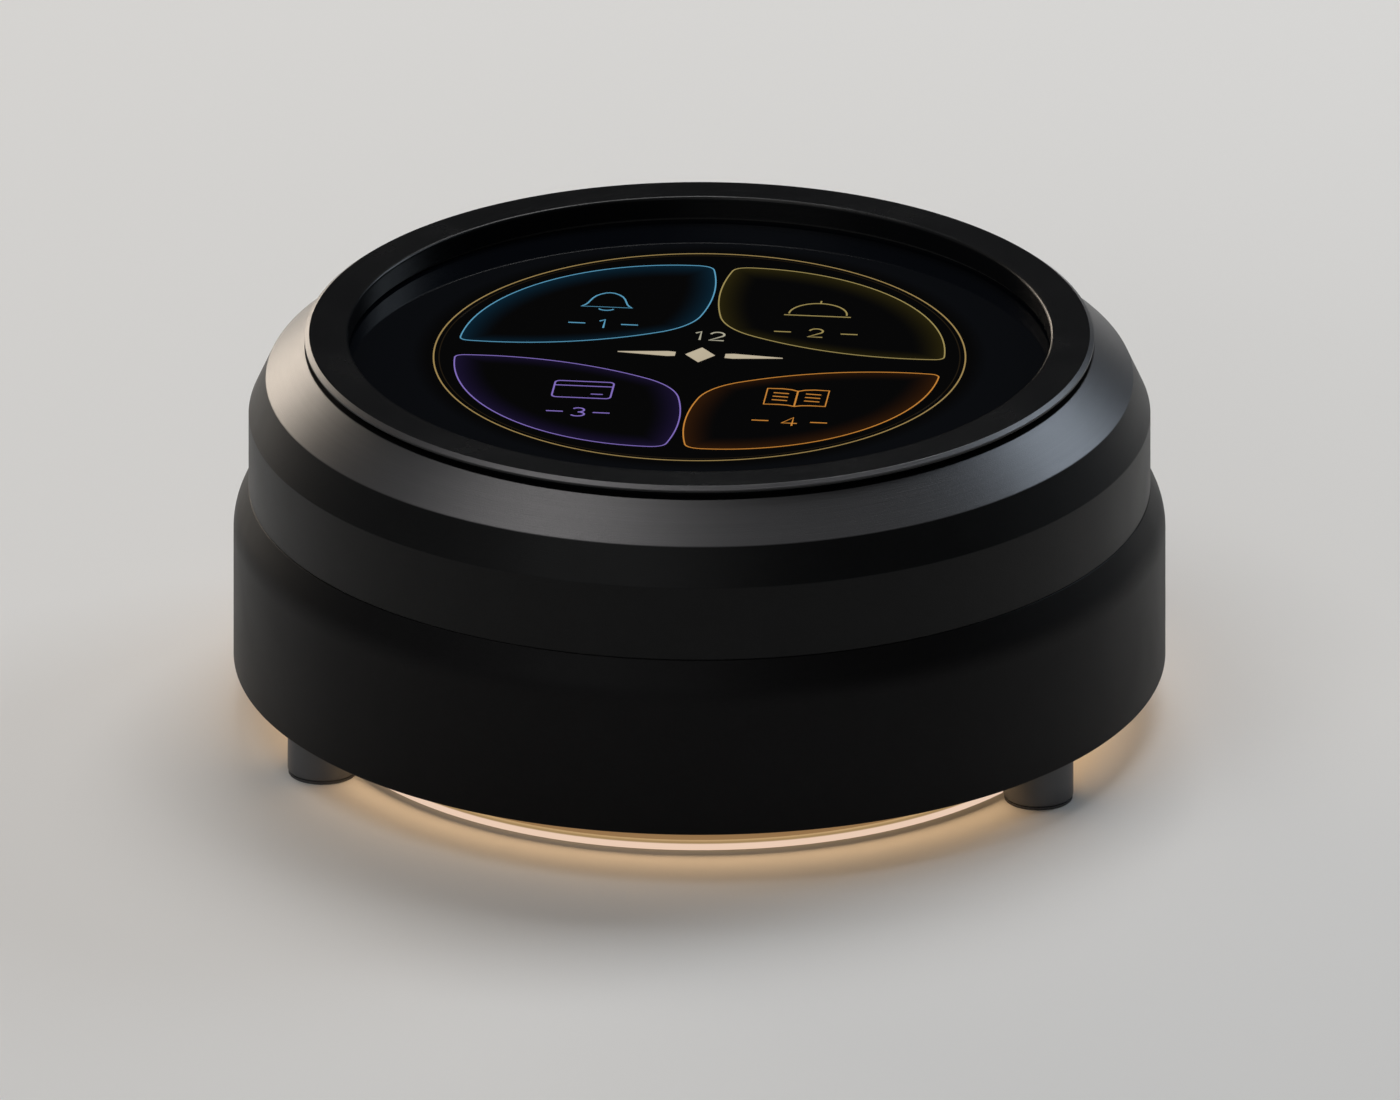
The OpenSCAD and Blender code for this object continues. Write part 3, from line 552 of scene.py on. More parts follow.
finishes = {
    "ring_black": bright_slope(satin("ring_black", screen(8, 9, 11), 0.24, lines=1.2, shine=0.2),
                               total_h - lip_h, bezel_r - lip_w),
    "casing_black": bright_slope(satin("casing_black", screen(10, 11, 12), 0.4, lines=0.8,
                                       shine=0.14), cone_low_z, bezel_r - 0.1),
    "lower_black": satin("lower_black", screen(9, 9, 10), 0.45, lines=0.3, shine=0.1),
    "foot_grey": satin("foot_grey", screen(72, 73, 76), 0.4, lines=0.6),
    "base_black": moulded("base_black", screen(30, 31, 33), 0.6, grain_mm=0.35, depth=0.05),
    "cover_glass": printed_glass("cover_glass"),
    "black_rubber": porous("black_rubber", screen(26, 26, 26), pore_mm=0.25, depth=0.03),
    "sole_rubber": porous("sole_rubber", screen(58, 58, 60), pore_mm=0.25, depth=0.03),
    "grey_foam": porous("grey_foam", screen(70, 70, 72), pore_mm=0.5, depth=0.2),
    "board_green": board("board_green", screen(16, 84, 46), screen(120, 150, 70)),
    "board_white": board("board_white", screen(225, 225, 220), screen(190, 180, 120)),
    "battery_silver": foil("battery_silver"),
    "lead_red": moulded("lead_red", screen(190, 28, 22), 0.4, grain_mm=0.3),
    "lead_white": moulded("lead_white", screen(224, 224, 214), 0.4, grain_mm=0.3),
    "cable_amber": film_cable("cable_amber"),
    "channel_white": glowing("channel_white", screen(90, 78, 62), screen(146, 112, 74),
                             shade(glow_on_floor, 3.2), screen(102, 77, 50),
                             z_dim=5.4, z_bright=1.35),
    "lamp_yellow": glowing("lamp_yellow", screen(235, 215, 150), screen(255, 225, 180),
                           shade(glow_on_floor, 2.0)),
    "diffuser_warm": glowing("diffuser_warm", screen(34, 30, 26), screen(236, 205, 182),
                             shade(glow_on_floor, 0.25), screen(160, 131, 90),
                             z_dim=1.2, z_bright=1.08),
}
for make, table in ((metal, metals), (moulded, plastics)):
    finishes.update({name: make(name, screen(*row[:3]), row[3]) for name, row in table.items()})

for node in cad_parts.values():
    slot = node.data.materials[0].name.split(".")[0]
    node.data.materials[0] = finishes[slot]
print("finishes:", len(finishes))


# %% [markdown]
# Feet, screws and springs stand in threes round the main axis, so a tree makes such a piece
# once and sets its copies on a circle, each facing outwards. Every tree ends the same way: its
# instances become real geometry, because the export drops instances, and its material is set.

# %% Set copies round the axis, and end a tree
def round_axis(tree, radius, angle, height):
    return put(tree, "ShaderNodeCombineXYZ", {
        0: calc(tree, "MULTIPLY", radius, calc(tree, "COSINE", angle)),
        1: calc(tree, "MULTIPLY", radius, calc(tree, "SINE", angle)), 2: height}).outputs[0]


def copies_round(tree, given, piece, height=0.0):
    step = calc(tree, "DIVIDE", math.tau, given["Copies"])
    angle = vary(tree, put(tree, "GeometryNodeInputIndex").outputs[0], by=step,
                 around=given["Start"])
    points = put(tree, "GeometryNodePoints", {
        "Count": given["Copies"], "Position": round_axis(tree, given["Ring"], angle, height)})
    facing = put(tree, "ShaderNodeCombineXYZ", {2: angle})
    return put(tree, "GeometryNodeInstanceOnPoints", {
        "Points": points.outputs[0], "Instance": piece, "Rotation": facing.outputs[0]}).outputs[0]


def hand_over(tree, given, result, piece):
    real = put(tree, "GeometryNodeRealizeInstances", {0: piece})
    dressed = put(tree, "GeometryNodeSetMaterial",
                  {"Geometry": real.outputs[0], "Material": given["Finish"]})
    tree.links.new(dressed.outputs[0], result[0])
    return tree


# %% [markdown]
# The casings, the ring, the feet and the screws are all turned parts, so one rule makes them:
# an outline of radius and height goes round an axis. Geometry Nodes do that here. The outline
# is the object's own mesh; a grid gets one row for each outline point and one column for each
# step round; each grid point then looks up its outline point by index and is set in its place.

# %% Build the turning tree
weld_gap = 0.0002 * MM
crease = math.radians(35)


def turning_tree():
    tree, given, result = new_group(
        "turned_part", "GeometryNodeTree",
        [("Outline", "Geometry"), ("Segments", "Int"), ("Copies", "Int"), ("Ring", "Float"),
         ("Start", "Float"), ("Finish", "Material")],
        [("Part", "Geometry")])
    count = put(tree, "GeometryNodeAttributeDomainSize", {0: given["Outline"]}).outputs["Point Count"]
    grid = put(tree, "GeometryNodeMeshGrid", {
        "Vertices X": calc(tree, "ADD", count, 1.0),
        "Vertices Y": calc(tree, "ADD", given["Segments"], 1.0)})
    share = axes_of(tree, grid.outputs["UV Map"])
    row = calc(tree, "ROUND", calc(tree, "MULTIPLY", share[0], count))
    found = put(tree, "GeometryNodeSampleIndex", {
        "Geometry": given["Outline"], "Value": put(tree, "GeometryNodeInputPosition").outputs[0],
        "Index": calc(tree, "MODULO", row, count)}, data_type="FLOAT_VECTOR")
    spot = axes_of(tree, found.outputs["Value"])
    turn = calc(tree, "MULTIPLY", share[1], math.tau)
    swept = put(tree, "GeometryNodeSetPosition", {
        "Geometry": grid.outputs["Mesh"], "Position": round_axis(tree, spot[0], turn, spot[2])})
    closed = put(tree, "GeometryNodeMergeByDistance",
                 {"Geometry": swept.outputs[0], "Distance": weld_gap})
    smooth = put(tree, "GeometryNodeSetShadeSmooth", {"Geometry": closed.outputs[0]})
    corner = put(tree, "GeometryNodeInputMeshEdgeAngle").outputs["Unsigned Angle"]
    sharp = put(tree, "GeometryNodeSetShadeSmooth", {
        "Geometry": smooth.outputs[0], "Shade Smooth": False,
        "Selection": calc(tree, "GREATER_THAN", corner, crease)}, domain="EDGE")
    return hand_over(tree, given, result, copies_round(tree, given, sharp.outputs[0]))


turned_part = built(turning_tree())


# %% [markdown]
# A modifier's inputs are set by the socket's identifier. After the tree has run, the evaluated
# result becomes a plain mesh and the modifier goes, so nothing is left to compute later. Each
# finished piece tells its faces and its volume: a closed mesh gives the volume a solid would.

# %% Run a tree and keep its mesh
def run_tree(start, tree, **values):
    modifier = start.modifiers.new(tree.name, "NODES")
    modifier.node_group = tree
    for item in tree.interface.items_tree:
        if item.in_out == "INPUT" and item.name in values:
            modifier[item.identifier] = values[item.name]
    return settle(start)


def settle(start):
    depsgraph = bpy.context.evaluated_depsgraph_get()
    mesh = bpy.data.meshes.new_from_object(
        start.evaluated_get(depsgraph), preserve_all_data_layers=True, depsgraph=depsgraph)
    name = start.name
    bpy.data.objects.remove(start)
    mesh.name = name
    return add(name, mesh)


def tell(piece, digits=1):
    shape = bmesh.new()
    shape.from_mesh(piece.data)
    volume = shape.calc_volume(signed=True) / MM ** 3
    shape.free()
    print(f"{piece.name}: {len(piece.data.polygons)} faces, {volume:.{digits}f} mm3")


# %% [markdown]
# An outline is written as its corners: radius, height and rounding in millimetres. Rounded
# corners become short arcs. A point just beside each arc keeps the flat faces flat, because
# smooth shading would otherwise spread the arc's bend over them.

# %% Round the corners of an outline
def outline(corners, steps=5, guard=0.05, longest=3.0):
    bent = []
    for i, (r, z, rounding) in enumerate(corners):
        here = Vector((r, z))
        back = (Vector(corners[i - 1][:2]) - here).normalized()
        ahead = (Vector(corners[(i + 1) % len(corners)][:2]) - here).normalized()
        if not rounding:
            bent.append(here)
            continue
        half = back.angle(ahead) / 2
        tangent = rounding / math.tan(half)
        centre = here + (back + ahead).normalized() * rounding / math.sin(half)
        spoke = here + back * tangent - centre
        sweep = math.pi - 2 * half
        side = 1 if back.x * ahead.y - back.y * ahead.x < 0 else -1
        bent.append(here + back * (tangent + guard))
        for k in range(steps + 1):
            turn = Matrix.Rotation(side * sweep * k / steps, 2)
            bent.append(centre + turn @ spoke)
        bent.append(here + ahead * (tangent + guard))
    points = []
    for a, b in zip(bent, bent[1:] + bent[:1]):
        pieces = max(1, math.ceil((b - a).length / longest))
        points += [a.lerp(b, k / pieces) for k in range(pieces)]
    return points


def turned(name, corners, finish, segments=256, copies=1, ring=0.0, start=0.0, **style):
    points = outline(corners, **style)
    area = sum(a.x * b.y - b.x * a.y for a, b in zip(points, points[1:] + points[:1]))
    if area > 0:
        points.reverse()
    mesh = bpy.data.meshes.new(name)
    count = len(points)
    mesh.from_pydata([(p.x * MM, 0, p.y * MM) for p in points],
                     [(i, (i + 1) % count) for i in range(count)], [])
    made = run_tree(add(name, mesh), turned_part, Segments=segments, Copies=copies, Ring=ring * MM,
                    Start=math.radians(start), Finish=finishes[finish])
    tell(made)
    return made


# %% [markdown]
# The bezel ring is what the hand presses. Its flat top ends in a small rounded inner edge and
# a bright chamfer, as steep as the cone below, and a long skirt slides in the casing. A groove
# inside the skirt takes the clip that holds the display.

# %% Turn the bezel ring
window_r = 35.15
skirt_r = bezel_r - 1.2
skirt_in_r = skirt_r - 1.7
groove_r = reach("retaining_clip") + 0.1
lip_z = total_h - 0.65
bezel_ring = turned("bezel_ring_turned", [
    (window_r, total_h, 0.3),
    (window_r, top("glass_gasket"), 0),
    (skirt_in_r, top("glass_gasket"), 0),
    (skirt_in_r, top("retaining_clip"), 0),
    (groove_r, top("retaining_clip"), 0),
    (groove_r, under("retaining_clip"), 0),
    (skirt_in_r, under("retaining_clip"), 0),
    (skirt_in_r, under("bezel_ring"), 0),
    (skirt_r, under("bezel_ring"), 0.15),
    (skirt_r, lip_z, 0),
    (bezel_r, lip_z, 0.1),
    (bezel_r, total_h - lip_h, 0.06),
    (bezel_r - lip_w, total_h, 0.06),
], "ring_black", segments=320)
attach(bezel_ring, "display_unit")
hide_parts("bezel_ring")

# %% [markdown]
# The upper casing is one turned shell as well: the satin cone, a steep bevel, a straight wall
# and a spigot that reaches into the lower casing, with a guide tube and a deck inside. Its
# bosses are added and its bores taken away with exact booleans, as a machinist would. Each
# boring rod runs a millimetre past the face that it opens.

# %% Make prisms, join and cut solids
def prism(name, outlines, low, high, finish, axis="Z"):
    """A closed solid between two levels of an axis, for each outline across the other two."""
    order = {"X": (2, 0, 1), "Y": (0, 2, 1), "Z": (0, 1, 2)}[axis]
    shape = bmesh.new()
    for points in outlines:
        ends = []
        for level in (low, high):
            places = [[(x, y, level)[k] for k in order] for x, y in points]
            ends.append([shape.verts.new(Vector(place) * MM) for place in places])
            shape.faces.new(ends[-1])
        for i in range(len(points)):
            j = (i + 1) % len(points)
            shape.faces.new((ends[0][i], ends[0][j], ends[1][j], ends[1][i]))
    bmesh.ops.recalc_face_normals(shape, faces=shape.faces)
    mesh = bpy.data.meshes.new(name)
    shape.to_mesh(mesh)
    shape.free()
    mesh.materials.append(finish)
    return add(name, mesh)


def cut(piece, tool, operation="DIFFERENCE"):
    modifier = piece.modifiers.new(operation.lower(), "BOOLEAN")
    modifier.operation = operation
    modifier.solver = "EXACT"
    modifier.object = tool
    made = settle(piece)
    bpy.data.objects.remove(tool)
    return made


def rods(name, radius, low, high, ring, start, segments=48):
    return turned(name, [(0, low, 0), (radius, low, 0), (radius, high, 0), (0, high, 0)],
                  "casing_black", segments=segments, copies=3, ring=ring, start=start)


# %% Turn the upper casing
upper_r = reach("upper_casing")
upper_in_r = upper_r - 3.1
cone_r = upper_r - 1.7
land_z = top("upper_casing")
tube_in_r = skirt_r + 0.3
tube_r = tube_in_r + 1.4
deck_z = top("guide_bushes") - 0.5
deck_low_z = under("guide_bushes")
deck_hole_r = 16.0
seam_z = top("lower_casing")
spigot_low_z = seam_z - 4.0
spigot_r = upper_in_r + 1.2
wall_top_z = seam_z + 7.8
cone_z = wall_top_z + 3.8
seal_r = spigot_r - 0.6
upper_casing = turned("upper_casing_turned", [
    (tube_in_r, land_z, 0.15),
    (tube_in_r, deck_z, 0),
    (deck_hole_r, deck_z, 0),
    (deck_hole_r, deck_low_z, 0),
    (tube_r, deck_low_z, 0),
    (tube_r, wall_top_z, 0),
    (upper_in_r, wall_top_z, 0),
    (upper_in_r, spigot_low_z, 0),
    (spigot_r, spigot_low_z, 0.15),
    (spigot_r, under("casing_seal"), 0),
    (seal_r, under("casing_seal"), 0),
    (seal_r, top("casing_seal"), 0),
    (spigot_r, top("casing_seal"), 0),
    (spigot_r, seam_z, 0),
    (upper_r, seam_z, 0.15),
    (upper_r, wall_top_z, 0.25),
    (cone_r, cone_z, 0.25),
    (bezel_r, land_z, 0.15),
], "casing_black", segments=320)

# %% Add its bosses and bores
plate_top_z = under("upper_casing")
guide_ring_r = 31.6
guide_turn = 90
boss_ring_r = 31.6
boss_turn = 30
boss_r = 3.0
boss_bore_r = 1.3
boss_bore_top_z = top("casing_screws") + 0.3
bush_bore_r = 3.0
pilot_r = 1.05
pilot_ring_r = deck_hole_r + 3
pilot_low_z = deck_low_z + 0.2
past = 1.0
overlap = 0.01
bores = (
    ("boss_bores", boss_bore_r, plate_top_z - past, boss_bore_top_z, boss_ring_r, boss_turn),
    ("bush_bores", bush_bore_r, deck_low_z - past, deck_z + past, guide_ring_r, guide_turn),
    ("pilot_holes", pilot_r, pilot_low_z, deck_z + past, pilot_ring_r, guide_turn),
)
bosses = rods("bosses", boss_r, plate_top_z, deck_low_z + overlap, boss_ring_r, boss_turn)
upper_casing = cut(upper_casing, bosses, "UNION")
for bore in bores:
    upper_casing = cut(upper_casing, rods(*bore))
tell(upper_casing)
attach(upper_casing, "housing")
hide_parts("upper_casing")

# %% [markdown]
# The lower casing carries all the rest. It is a shade blacker than the cone above it, and its
# shoulder runs into the wall in a soft bend. Inside, a ledge is clamped between the base plate
# and the upper casing. At the back a shallow recess leads to the charging socket.

# %% Turn the lower casing and cut its port
foot_z = under("base_plate")
ledge_top_z = plate_top_z + 2.0
lip_in_r = spigot_r + 0.1
lip_low_z = spigot_low_z + 1.12
wall_in_r = body_r - 2.4
ledge_r = body_r - 4.0
rim_in_r = reach("base_plate") + 0.1
lower_casing = turned("lower_casing_turned", [
    (body_r, foot_z, 0.25),
    (body_r, seam_z - 3.3, 5.5),
    (upper_r, seam_z, 0.15),
    (lip_in_r, seam_z, 0),
    (lip_in_r, lip_low_z, 0),
    (wall_in_r, lip_low_z - 0.9, 0),
    (wall_in_r, ledge_top_z, 0),
    (ledge_r, ledge_top_z, 0),
    (ledge_r, plate_top_z, 0),
    (rim_in_r, plate_top_z, 0),
    (rim_in_r, foot_z, 0.15),
], "lower_black", segments=320)


def stadium(width, height, z, steps=16):
    side = (width - height) / 2
    ends = [(math.pi / 2 - math.pi * k / steps, side) for k in range(steps + 1)]
    ends += [(-math.pi / 2 - math.pi * k / steps, -side) for k in range(steps + 1)]
    return [(x + height / 2 * math.cos(t), z + height / 2 * math.sin(t)) for t, x in ends]


shell_low, shell_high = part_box("charging_socket")
shell_w = (shell_high.x - shell_low.x) / MM
shell_h = (shell_high.z - shell_low.z) / MM
shell_z = (shell_high.z + shell_low.z) / 2 / MM
port_floor_y = body_r - 1.9
for label, margin, start_y in (("slot", 0.6, lip_in_r - past), ("recess", 3.6, port_floor_y)):
    tool = prism(label, [stadium(shell_w + margin, shell_h + margin, shell_z)], start_y,
                 body_r + past, finishes["lower_black"], axis="Y")
    lower_casing = cut(lower_casing, tool)
tell(lower_casing)
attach(lower_casing, "housing")
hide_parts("lower_casing")

# %% [markdown]
# The three feet are small turned studs with a rounded foot edge. A grey rubber sole plugs into
# the pocket of each and covers its screw. One outline and three copies make each of them.

# %% Turn the feet
foot_ring_r = 41.5
foot_r = 3.5
foot_screw_r = 1.3
head_bore_r = 2.3
head_bore_z = 2.5
pocket_r = foot_r - 0.6
pad_z = top("foot_pads")
sole_z = under("feet")
feet = turned("feet_turned", [
    (foot_screw_r, head_bore_z, 0),
    (foot_screw_r, foot_z, 0),
    (foot_r, foot_z, 0),
    (foot_r, sole_z, 0.35),
    (pocket_r, sole_z, 0),
    (pocket_r, pad_z, 0),
    (head_bore_r, pad_z, 0),
    (head_bore_r, head_bore_z, 0),
], "foot_grey", segments=72, copies=3, ring=foot_ring_r, start=guide_turn, longest=1.5)
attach(feet, "housing")
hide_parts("feet")

sole_r = foot_r - 0.08
plug_r = pocket_r - 0.05
soles = turned("foot_soles_turned", [
    (0, 0, 0),
    (sole_r, 0, 0.12),
    (sole_r, sole_z, 0),
    (plug_r, sole_z, 0),
    (plug_r, pad_z, 0),
    (0, pad_z, 0),
], "sole_rubber", segments=72, copies=3, ring=foot_ring_r, start=guide_turn, longest=1.5)
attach(soles, "housing")
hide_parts("foot_pads")

# %% [markdown]
# Three screws hold the base plate. Each has a low round head with a softened rim and a hexagon
# recess, which is a six-sided rod taken away.

# %% Turn the base plate's screws
head_low_z = under("casing_screws")
head_top_z = head_low_z + 1.4
head_r = 2.15
shank_r = 1.25
screw_end_z = top("casing_screws")
screws = turned("casing_screws_turned", [
    (0, head_low_z, 0),
    (head_r, head_low_z, 0.3),
    (head_r, head_top_z, 0),
    (shank_r, head_top_z, 0),
    (shank_r, screw_end_z, 0.4),
    (0, screw_end_z, 0),
], "black_steel", segments=48, copies=3, ring=boss_ring_r, start=boss_turn)
hexagon_r = 0.94
hexagon_depth = 0.7
screws = cut(screws, rods("hexagons", hexagon_r, head_low_z - past, head_low_z + hexagon_depth,
                          boss_ring_r, boss_turn, segments=6))
tell(screws)
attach(screws, "housing")
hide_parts("casing_screws")


# %% [markdown]
# The return springs are wire along a helix, which Geometry Nodes have as a ready curve. It is
# wound left-handed unless it is reversed, and real springs are mostly right-handed, as the CAD
# model's are. They stand on the bushes and push the display unit up.

# %% Coil the return springs
def coil_tree():
    tree, given, result = new_group(
        "coiled_wire", "GeometryNodeTree",
        [("Body", "Geometry"), ("Radius", "Float"), ("Wire", "Float"), ("Length", "Float"),
         ("Turns", "Float"), ("Copies", "Int"), ("Ring", "Float"), ("Start", "Float"),
         ("Seat", "Float"), ("Finish", "Material")], [("Springs", "Geometry")])
    helix = put(tree, "GeometryNodeCurveSpiral", {
        "Resolution": 36, "Rotations": given["Turns"], "Start Radius": given["Radius"],
        "End Radius": given["Radius"], "Height": given["Length"], "Reverse": True})
    wire = put(tree, "GeometryNodeCurvePrimitiveCircle",
               {"Resolution": 10, "Radius": given["Wire"]})
    swept = put(tree, "GeometryNodeCurveToMesh", {
        "Curve": helix.outputs[0], "Profile Curve": wire.outputs[0], "Fill Caps": True})
    smooth = put(tree, "GeometryNodeSetShadeSmooth", {"Geometry": swept.outputs[0]})
    springs = copies_round(tree, given, smooth.outputs[0], given["Seat"])
    return hand_over(tree, given, result, springs)


spring_seat_z = under("return_springs")
spring_len = top("return_springs") - spring_seat_z
spring_r = 3.2
wire_r = 0.25
spring_turns = 4.0
start = add("return_springs_coiled", bpy.data.meshes.new("springs"))
springs = run_tree(start, built(coil_tree()), Radius=(spring_r - wire_r) * MM, Wire=wire_r * MM,
                   Length=(spring_len - 2 * wire_r) * MM, Turns=spring_turns, Copies=3,
                   Ring=guide_ring_r * MM, Start=math.radians(guide_turn),
                   Seat=(spring_seat_z + wire_r) * MM, Finish=finishes["spring_steel"])
tell(springs)
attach(springs, "housing")
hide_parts("return_springs")
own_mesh(springs)

# %% [markdown]
# The display's flat cable stands on the main board and bends over to the display. It is one
# ribbon with a round bend, drawn from the side and given its width.

# %% Fold the display cable
def ribbon(path, thickness):
    """The outline of a strip of even thickness that follows a path, seen from its edge."""
    sides = []
    for i, p in enumerate(path):
        before, after = path[max(i - 1, 0)], path[min(i + 1, len(path) - 1)]
        along = (after - before).normalized()
        sides.append((p, Vector((-along.y, along.x)) * thickness / 2))
    return [p + out for p, out in sides] + [p - out for p, out in reversed(sides)]


cable_low, cable_high = (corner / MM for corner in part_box("display_cable"))
cable_t = 0.2
bend_r = 0.8
bend_steps = 12
foot_y = cable_low.y + cable_t / 2
tab_z = cable_high.z - cable_t / 2
bend = [Vector((foot_y + bend_r - bend_r * math.cos(t), tab_z - bend_r + bend_r * math.sin(t)))
        for t in (math.pi / 2 * k / bend_steps for k in range(bend_steps + 1))]
cable_path = [Vector((foot_y, cable_low.z)), Vector((foot_y, tab_z - bend_r - 0.01))]
cable_path += bend + [Vector((cable_high.y, tab_z))]
cable = prism("display_cable_folded", [ribbon(cable_path, cable_t)], cable_low.x, cable_high.x,
              finishes["cable_amber"], axis="X")
tell(cable)
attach(cable, "housing")
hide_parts("display_cable")
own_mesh(cable)

# %% [markdown]
# Inside the charging socket's steel shell a black tongue carries two rows of gold contacts.
# Rows are what instances are for: Geometry Nodes set one small bar on each point of a line.

# %% Lay the socket's contacts
def row_tree():
    tree, given, result = new_group(
        "contact_row", "GeometryNodeTree",
        [("Body", "Geometry"), ("Count", "Int"), ("First", "Vector"), ("Step", "Vector"),
         ("Size", "Vector"), ("Gap", "Float"), ("Finish", "Material")], [("Row", "Geometry")])
    line = put(tree, "GeometryNodeMeshLine", {
        "Count": given["Count"], "Start Location": given["First"], "Offset": given["Step"]})
    bar = put(tree, "GeometryNodeMeshCube", {"Size": given["Size"]})
    upper = put(tree, "GeometryNodeInstanceOnPoints", {
        "Points": line.outputs[0], "Instance": bar.outputs[0]})
    drop = put(tree, "ShaderNodeCombineXYZ", {2: calc(tree, "MULTIPLY", given["Gap"], -1.0)})
    lower = put(tree, "GeometryNodeTransform",
                {"Geometry": upper.outputs[0], "Translation": drop.outputs[0]})
    both = put(tree, "GeometryNodeJoinGeometry")
    tree.links.new(upper.outputs[0], both.inputs[0])
    tree.links.new(lower.outputs[0], both.inputs[0])
    return hand_over(tree, given, result, both.outputs[0])


insert_back_y = (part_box("socket_insert")[1] / MM).y
contact = Vector((0.25, 2.6, 0.04))
contact_pitch = 0.5
contact_count = 12
tongue_t = 0.7
tip_margin = 0.4
first = Vector((-contact_pitch * (contact_count - 1) / 2,
                insert_back_y - contact.y / 2 - tip_margin,
                shell_z + tongue_t / 2 + contact.z / 4))
start = add("socket_contacts", bpy.data.meshes.new("contacts"))
contacts = run_tree(start, built(row_tree()), Count=contact_count, First=first * MM,
                    Step=Vector((contact_pitch, 0, 0)) * MM, Size=contact * MM,
                    Gap=(tongue_t + contact.z / 2) * MM, Finish=finishes["brass"])
tell(contacts, 2)
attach(contacts, "housing")

# %% [markdown]
# What the display shows is drawn on the glass in thin solids, a hundredth of a millimetre
# high. All of it is line work in the flat, so it is drawn with plain geometry: arcs, straight
# strokes and a few rounded corners, in millimetres.

# %% Arcs and soft corners
def arc(start, end, bow, steps=48):
    a, b = Vector(start), Vector(end)
    half = (b - a).length / 2
    out = Vector(((b - a).y, -(b - a).x)).normalized()
    radius = (half * half + bow * bow) / (2 * bow)
    centre = (a + b) / 2 + out * (bow - radius)
    spread = 2 * math.asin(half / radius)
    spoke = a - centre
    return [centre + Matrix.Rotation(spread * k / steps, 2) @ spoke for k in range(steps + 1)]


def ellipse(centre, width, height, first=0.0, last=360.0, steps=32):
    angles = [math.radians(first + (last - first) * k / steps) for k in range(steps + 1)]
    return [Vector((centre[0] + width / 2 * math.cos(t), centre[1] + height / 2 * math.sin(t)))
            for t in angles]


def soften(path, corner, span, steps=10):
    """Replaces the stretch within span of a corner by a smooth curve that keeps to it."""
    corner = Vector(corner)
    count = len(path)
    near = min(range(count), key=lambda i: (path[i] - corner).length)
    rolled = path[near:] + path[:near]
    first = next(i for i in range(count) if (rolled[i] - corner).length > span)
    last = next(i for i in range(count - 1, 0, -1) if (rolled[i] - corner).length > span)
    a, b = rolled[last], rolled[first]
    bend = [a * (1 - t) ** 2 + corner * 2 * t * (1 - t) + b * t * t
            for t in (k / steps for k in range(1, steps))]
    return rolled[first:last + 1] + bend


# %% [markdown]
# Each of the four touch fields is the same shape, mirrored: an outer arc, a side along the
# upright gap and a side along the level gap, which all bow outwards.

# %% Outline of a touch field
artwork_turn = math.radians(-0.9)
outer_corner = (24.35, 1.95)
upper_corner = (1.15, 23.3)
inner_corner = (1.8, 7.75)
field_outer = arc(outer_corner, upper_corner, bow=6.85)
field_side = arc(upper_corner, inner_corner, bow=1.15)
field_level = arc(inner_corner, outer_corner, bow=2.05)


def laid(point):
    """Where a point of the artwork lies: the display sits a shade askew in its ring."""
    return Matrix.Rotation(artwork_turn, 2) @ Vector(point)


def field_outline():
    path = field_outer[:-1] + field_side[:-1] + field_level[:-1]
    path = soften(path, outer_corner, span=0.5)
    path = soften(path, upper_corner, span=0.9)
    return soften(path, inner_corner, span=2.6)


print("a touch field's outline has", len(field_outline()), "points")


# %% [markdown]
# Lines are a Geometry Nodes job: a tree sweeps a flat bar along any number of paths. The bar
# is as wide as the line and a hundredth of a millimetre thick.

# %% Build the line tree
def line_tree():
    tree, given, result = new_group(
        "drawn_line", "GeometryNodeTree",
        [("Paths", "Geometry"), ("Width", "Float"), ("Thickness", "Float"),
         ("Finish", "Material")], [("Lines", "Geometry")])
    level = put(tree, "GeometryNodeSetCurveNormal", {0: given["Paths"]}, mode="Z_UP")
    bar = put(tree, "GeometryNodeCurvePrimitiveQuadrilateral",
              {"Width": given["Width"], "Height": given["Thickness"]})
    swept = put(tree, "GeometryNodeCurveToMesh", {
        "Curve": level.outputs[0], "Profile Curve": bar.outputs[0], "Fill Caps": True})
    flat = put(tree, "GeometryNodeSetShadeSmooth",
               {"Geometry": swept.outputs[0], "Shade Smooth": False})
    return hand_over(tree, given, result, flat.outputs[0])


drawn_line = built(line_tree())
layer = 0.01


def draw(name, paths, width, finish, level=2):
    """Draws paths, each (points, closed), in the given layer above the glass."""
    data = bpy.data.curves.new(name, "CURVE")
    data.dimensions = "3D"
    height = (glass_z + (level + 0.5) * layer) * MM
    for points, closed in paths:
        spline = data.splines.new("POLY")
        spline.points.add(len(points) - 1)
        for spot, p in zip(spline.points, points):
            spot.co = (*laid(p) * MM, height, 1)
        spline.use_cyclic_u = closed
    made = run_tree(add(name, data), drawn_line, Width=width * MM, Thickness=layer * MM, Finish=finish)
    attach(made, "display_unit")
    tell(made, 3)
    return made


# %% [markdown]
# The lit lines keep the gloss of the glass over them, so their material is black glass with
# an emission. Inside each field the light fades from the outline inwards: deep along the outer
# arc and the upright gap, thin along the level gap. Two distances, kept as attributes on the
# mesh, drive that fade.

# %% Lit lines and glowing fields
def lit(name, light):
    made, tree, base = blank(name)
    marks, gloss = glass_gloss(tree)
    fill(tree, base, {
        "Base Color": glass_black, "Roughness": gloss, "IOR": coated_ior,
        "Emission Color": toned(tree, marks, light, 1.0, 0.93),
        "Emission Strength": 1.0})
    return made


deep_fade = 3.2
thin_fade = 2.2
thin_share = 0.8
fade_power = 1.7


def fade(tree, distance, depth):
    left = calc(tree, "SUBTRACT", 1.0, calc(tree, "DIVIDE", distance, depth * MM), clamp=True)
    return calc(tree, "POWER", left, fade_power)


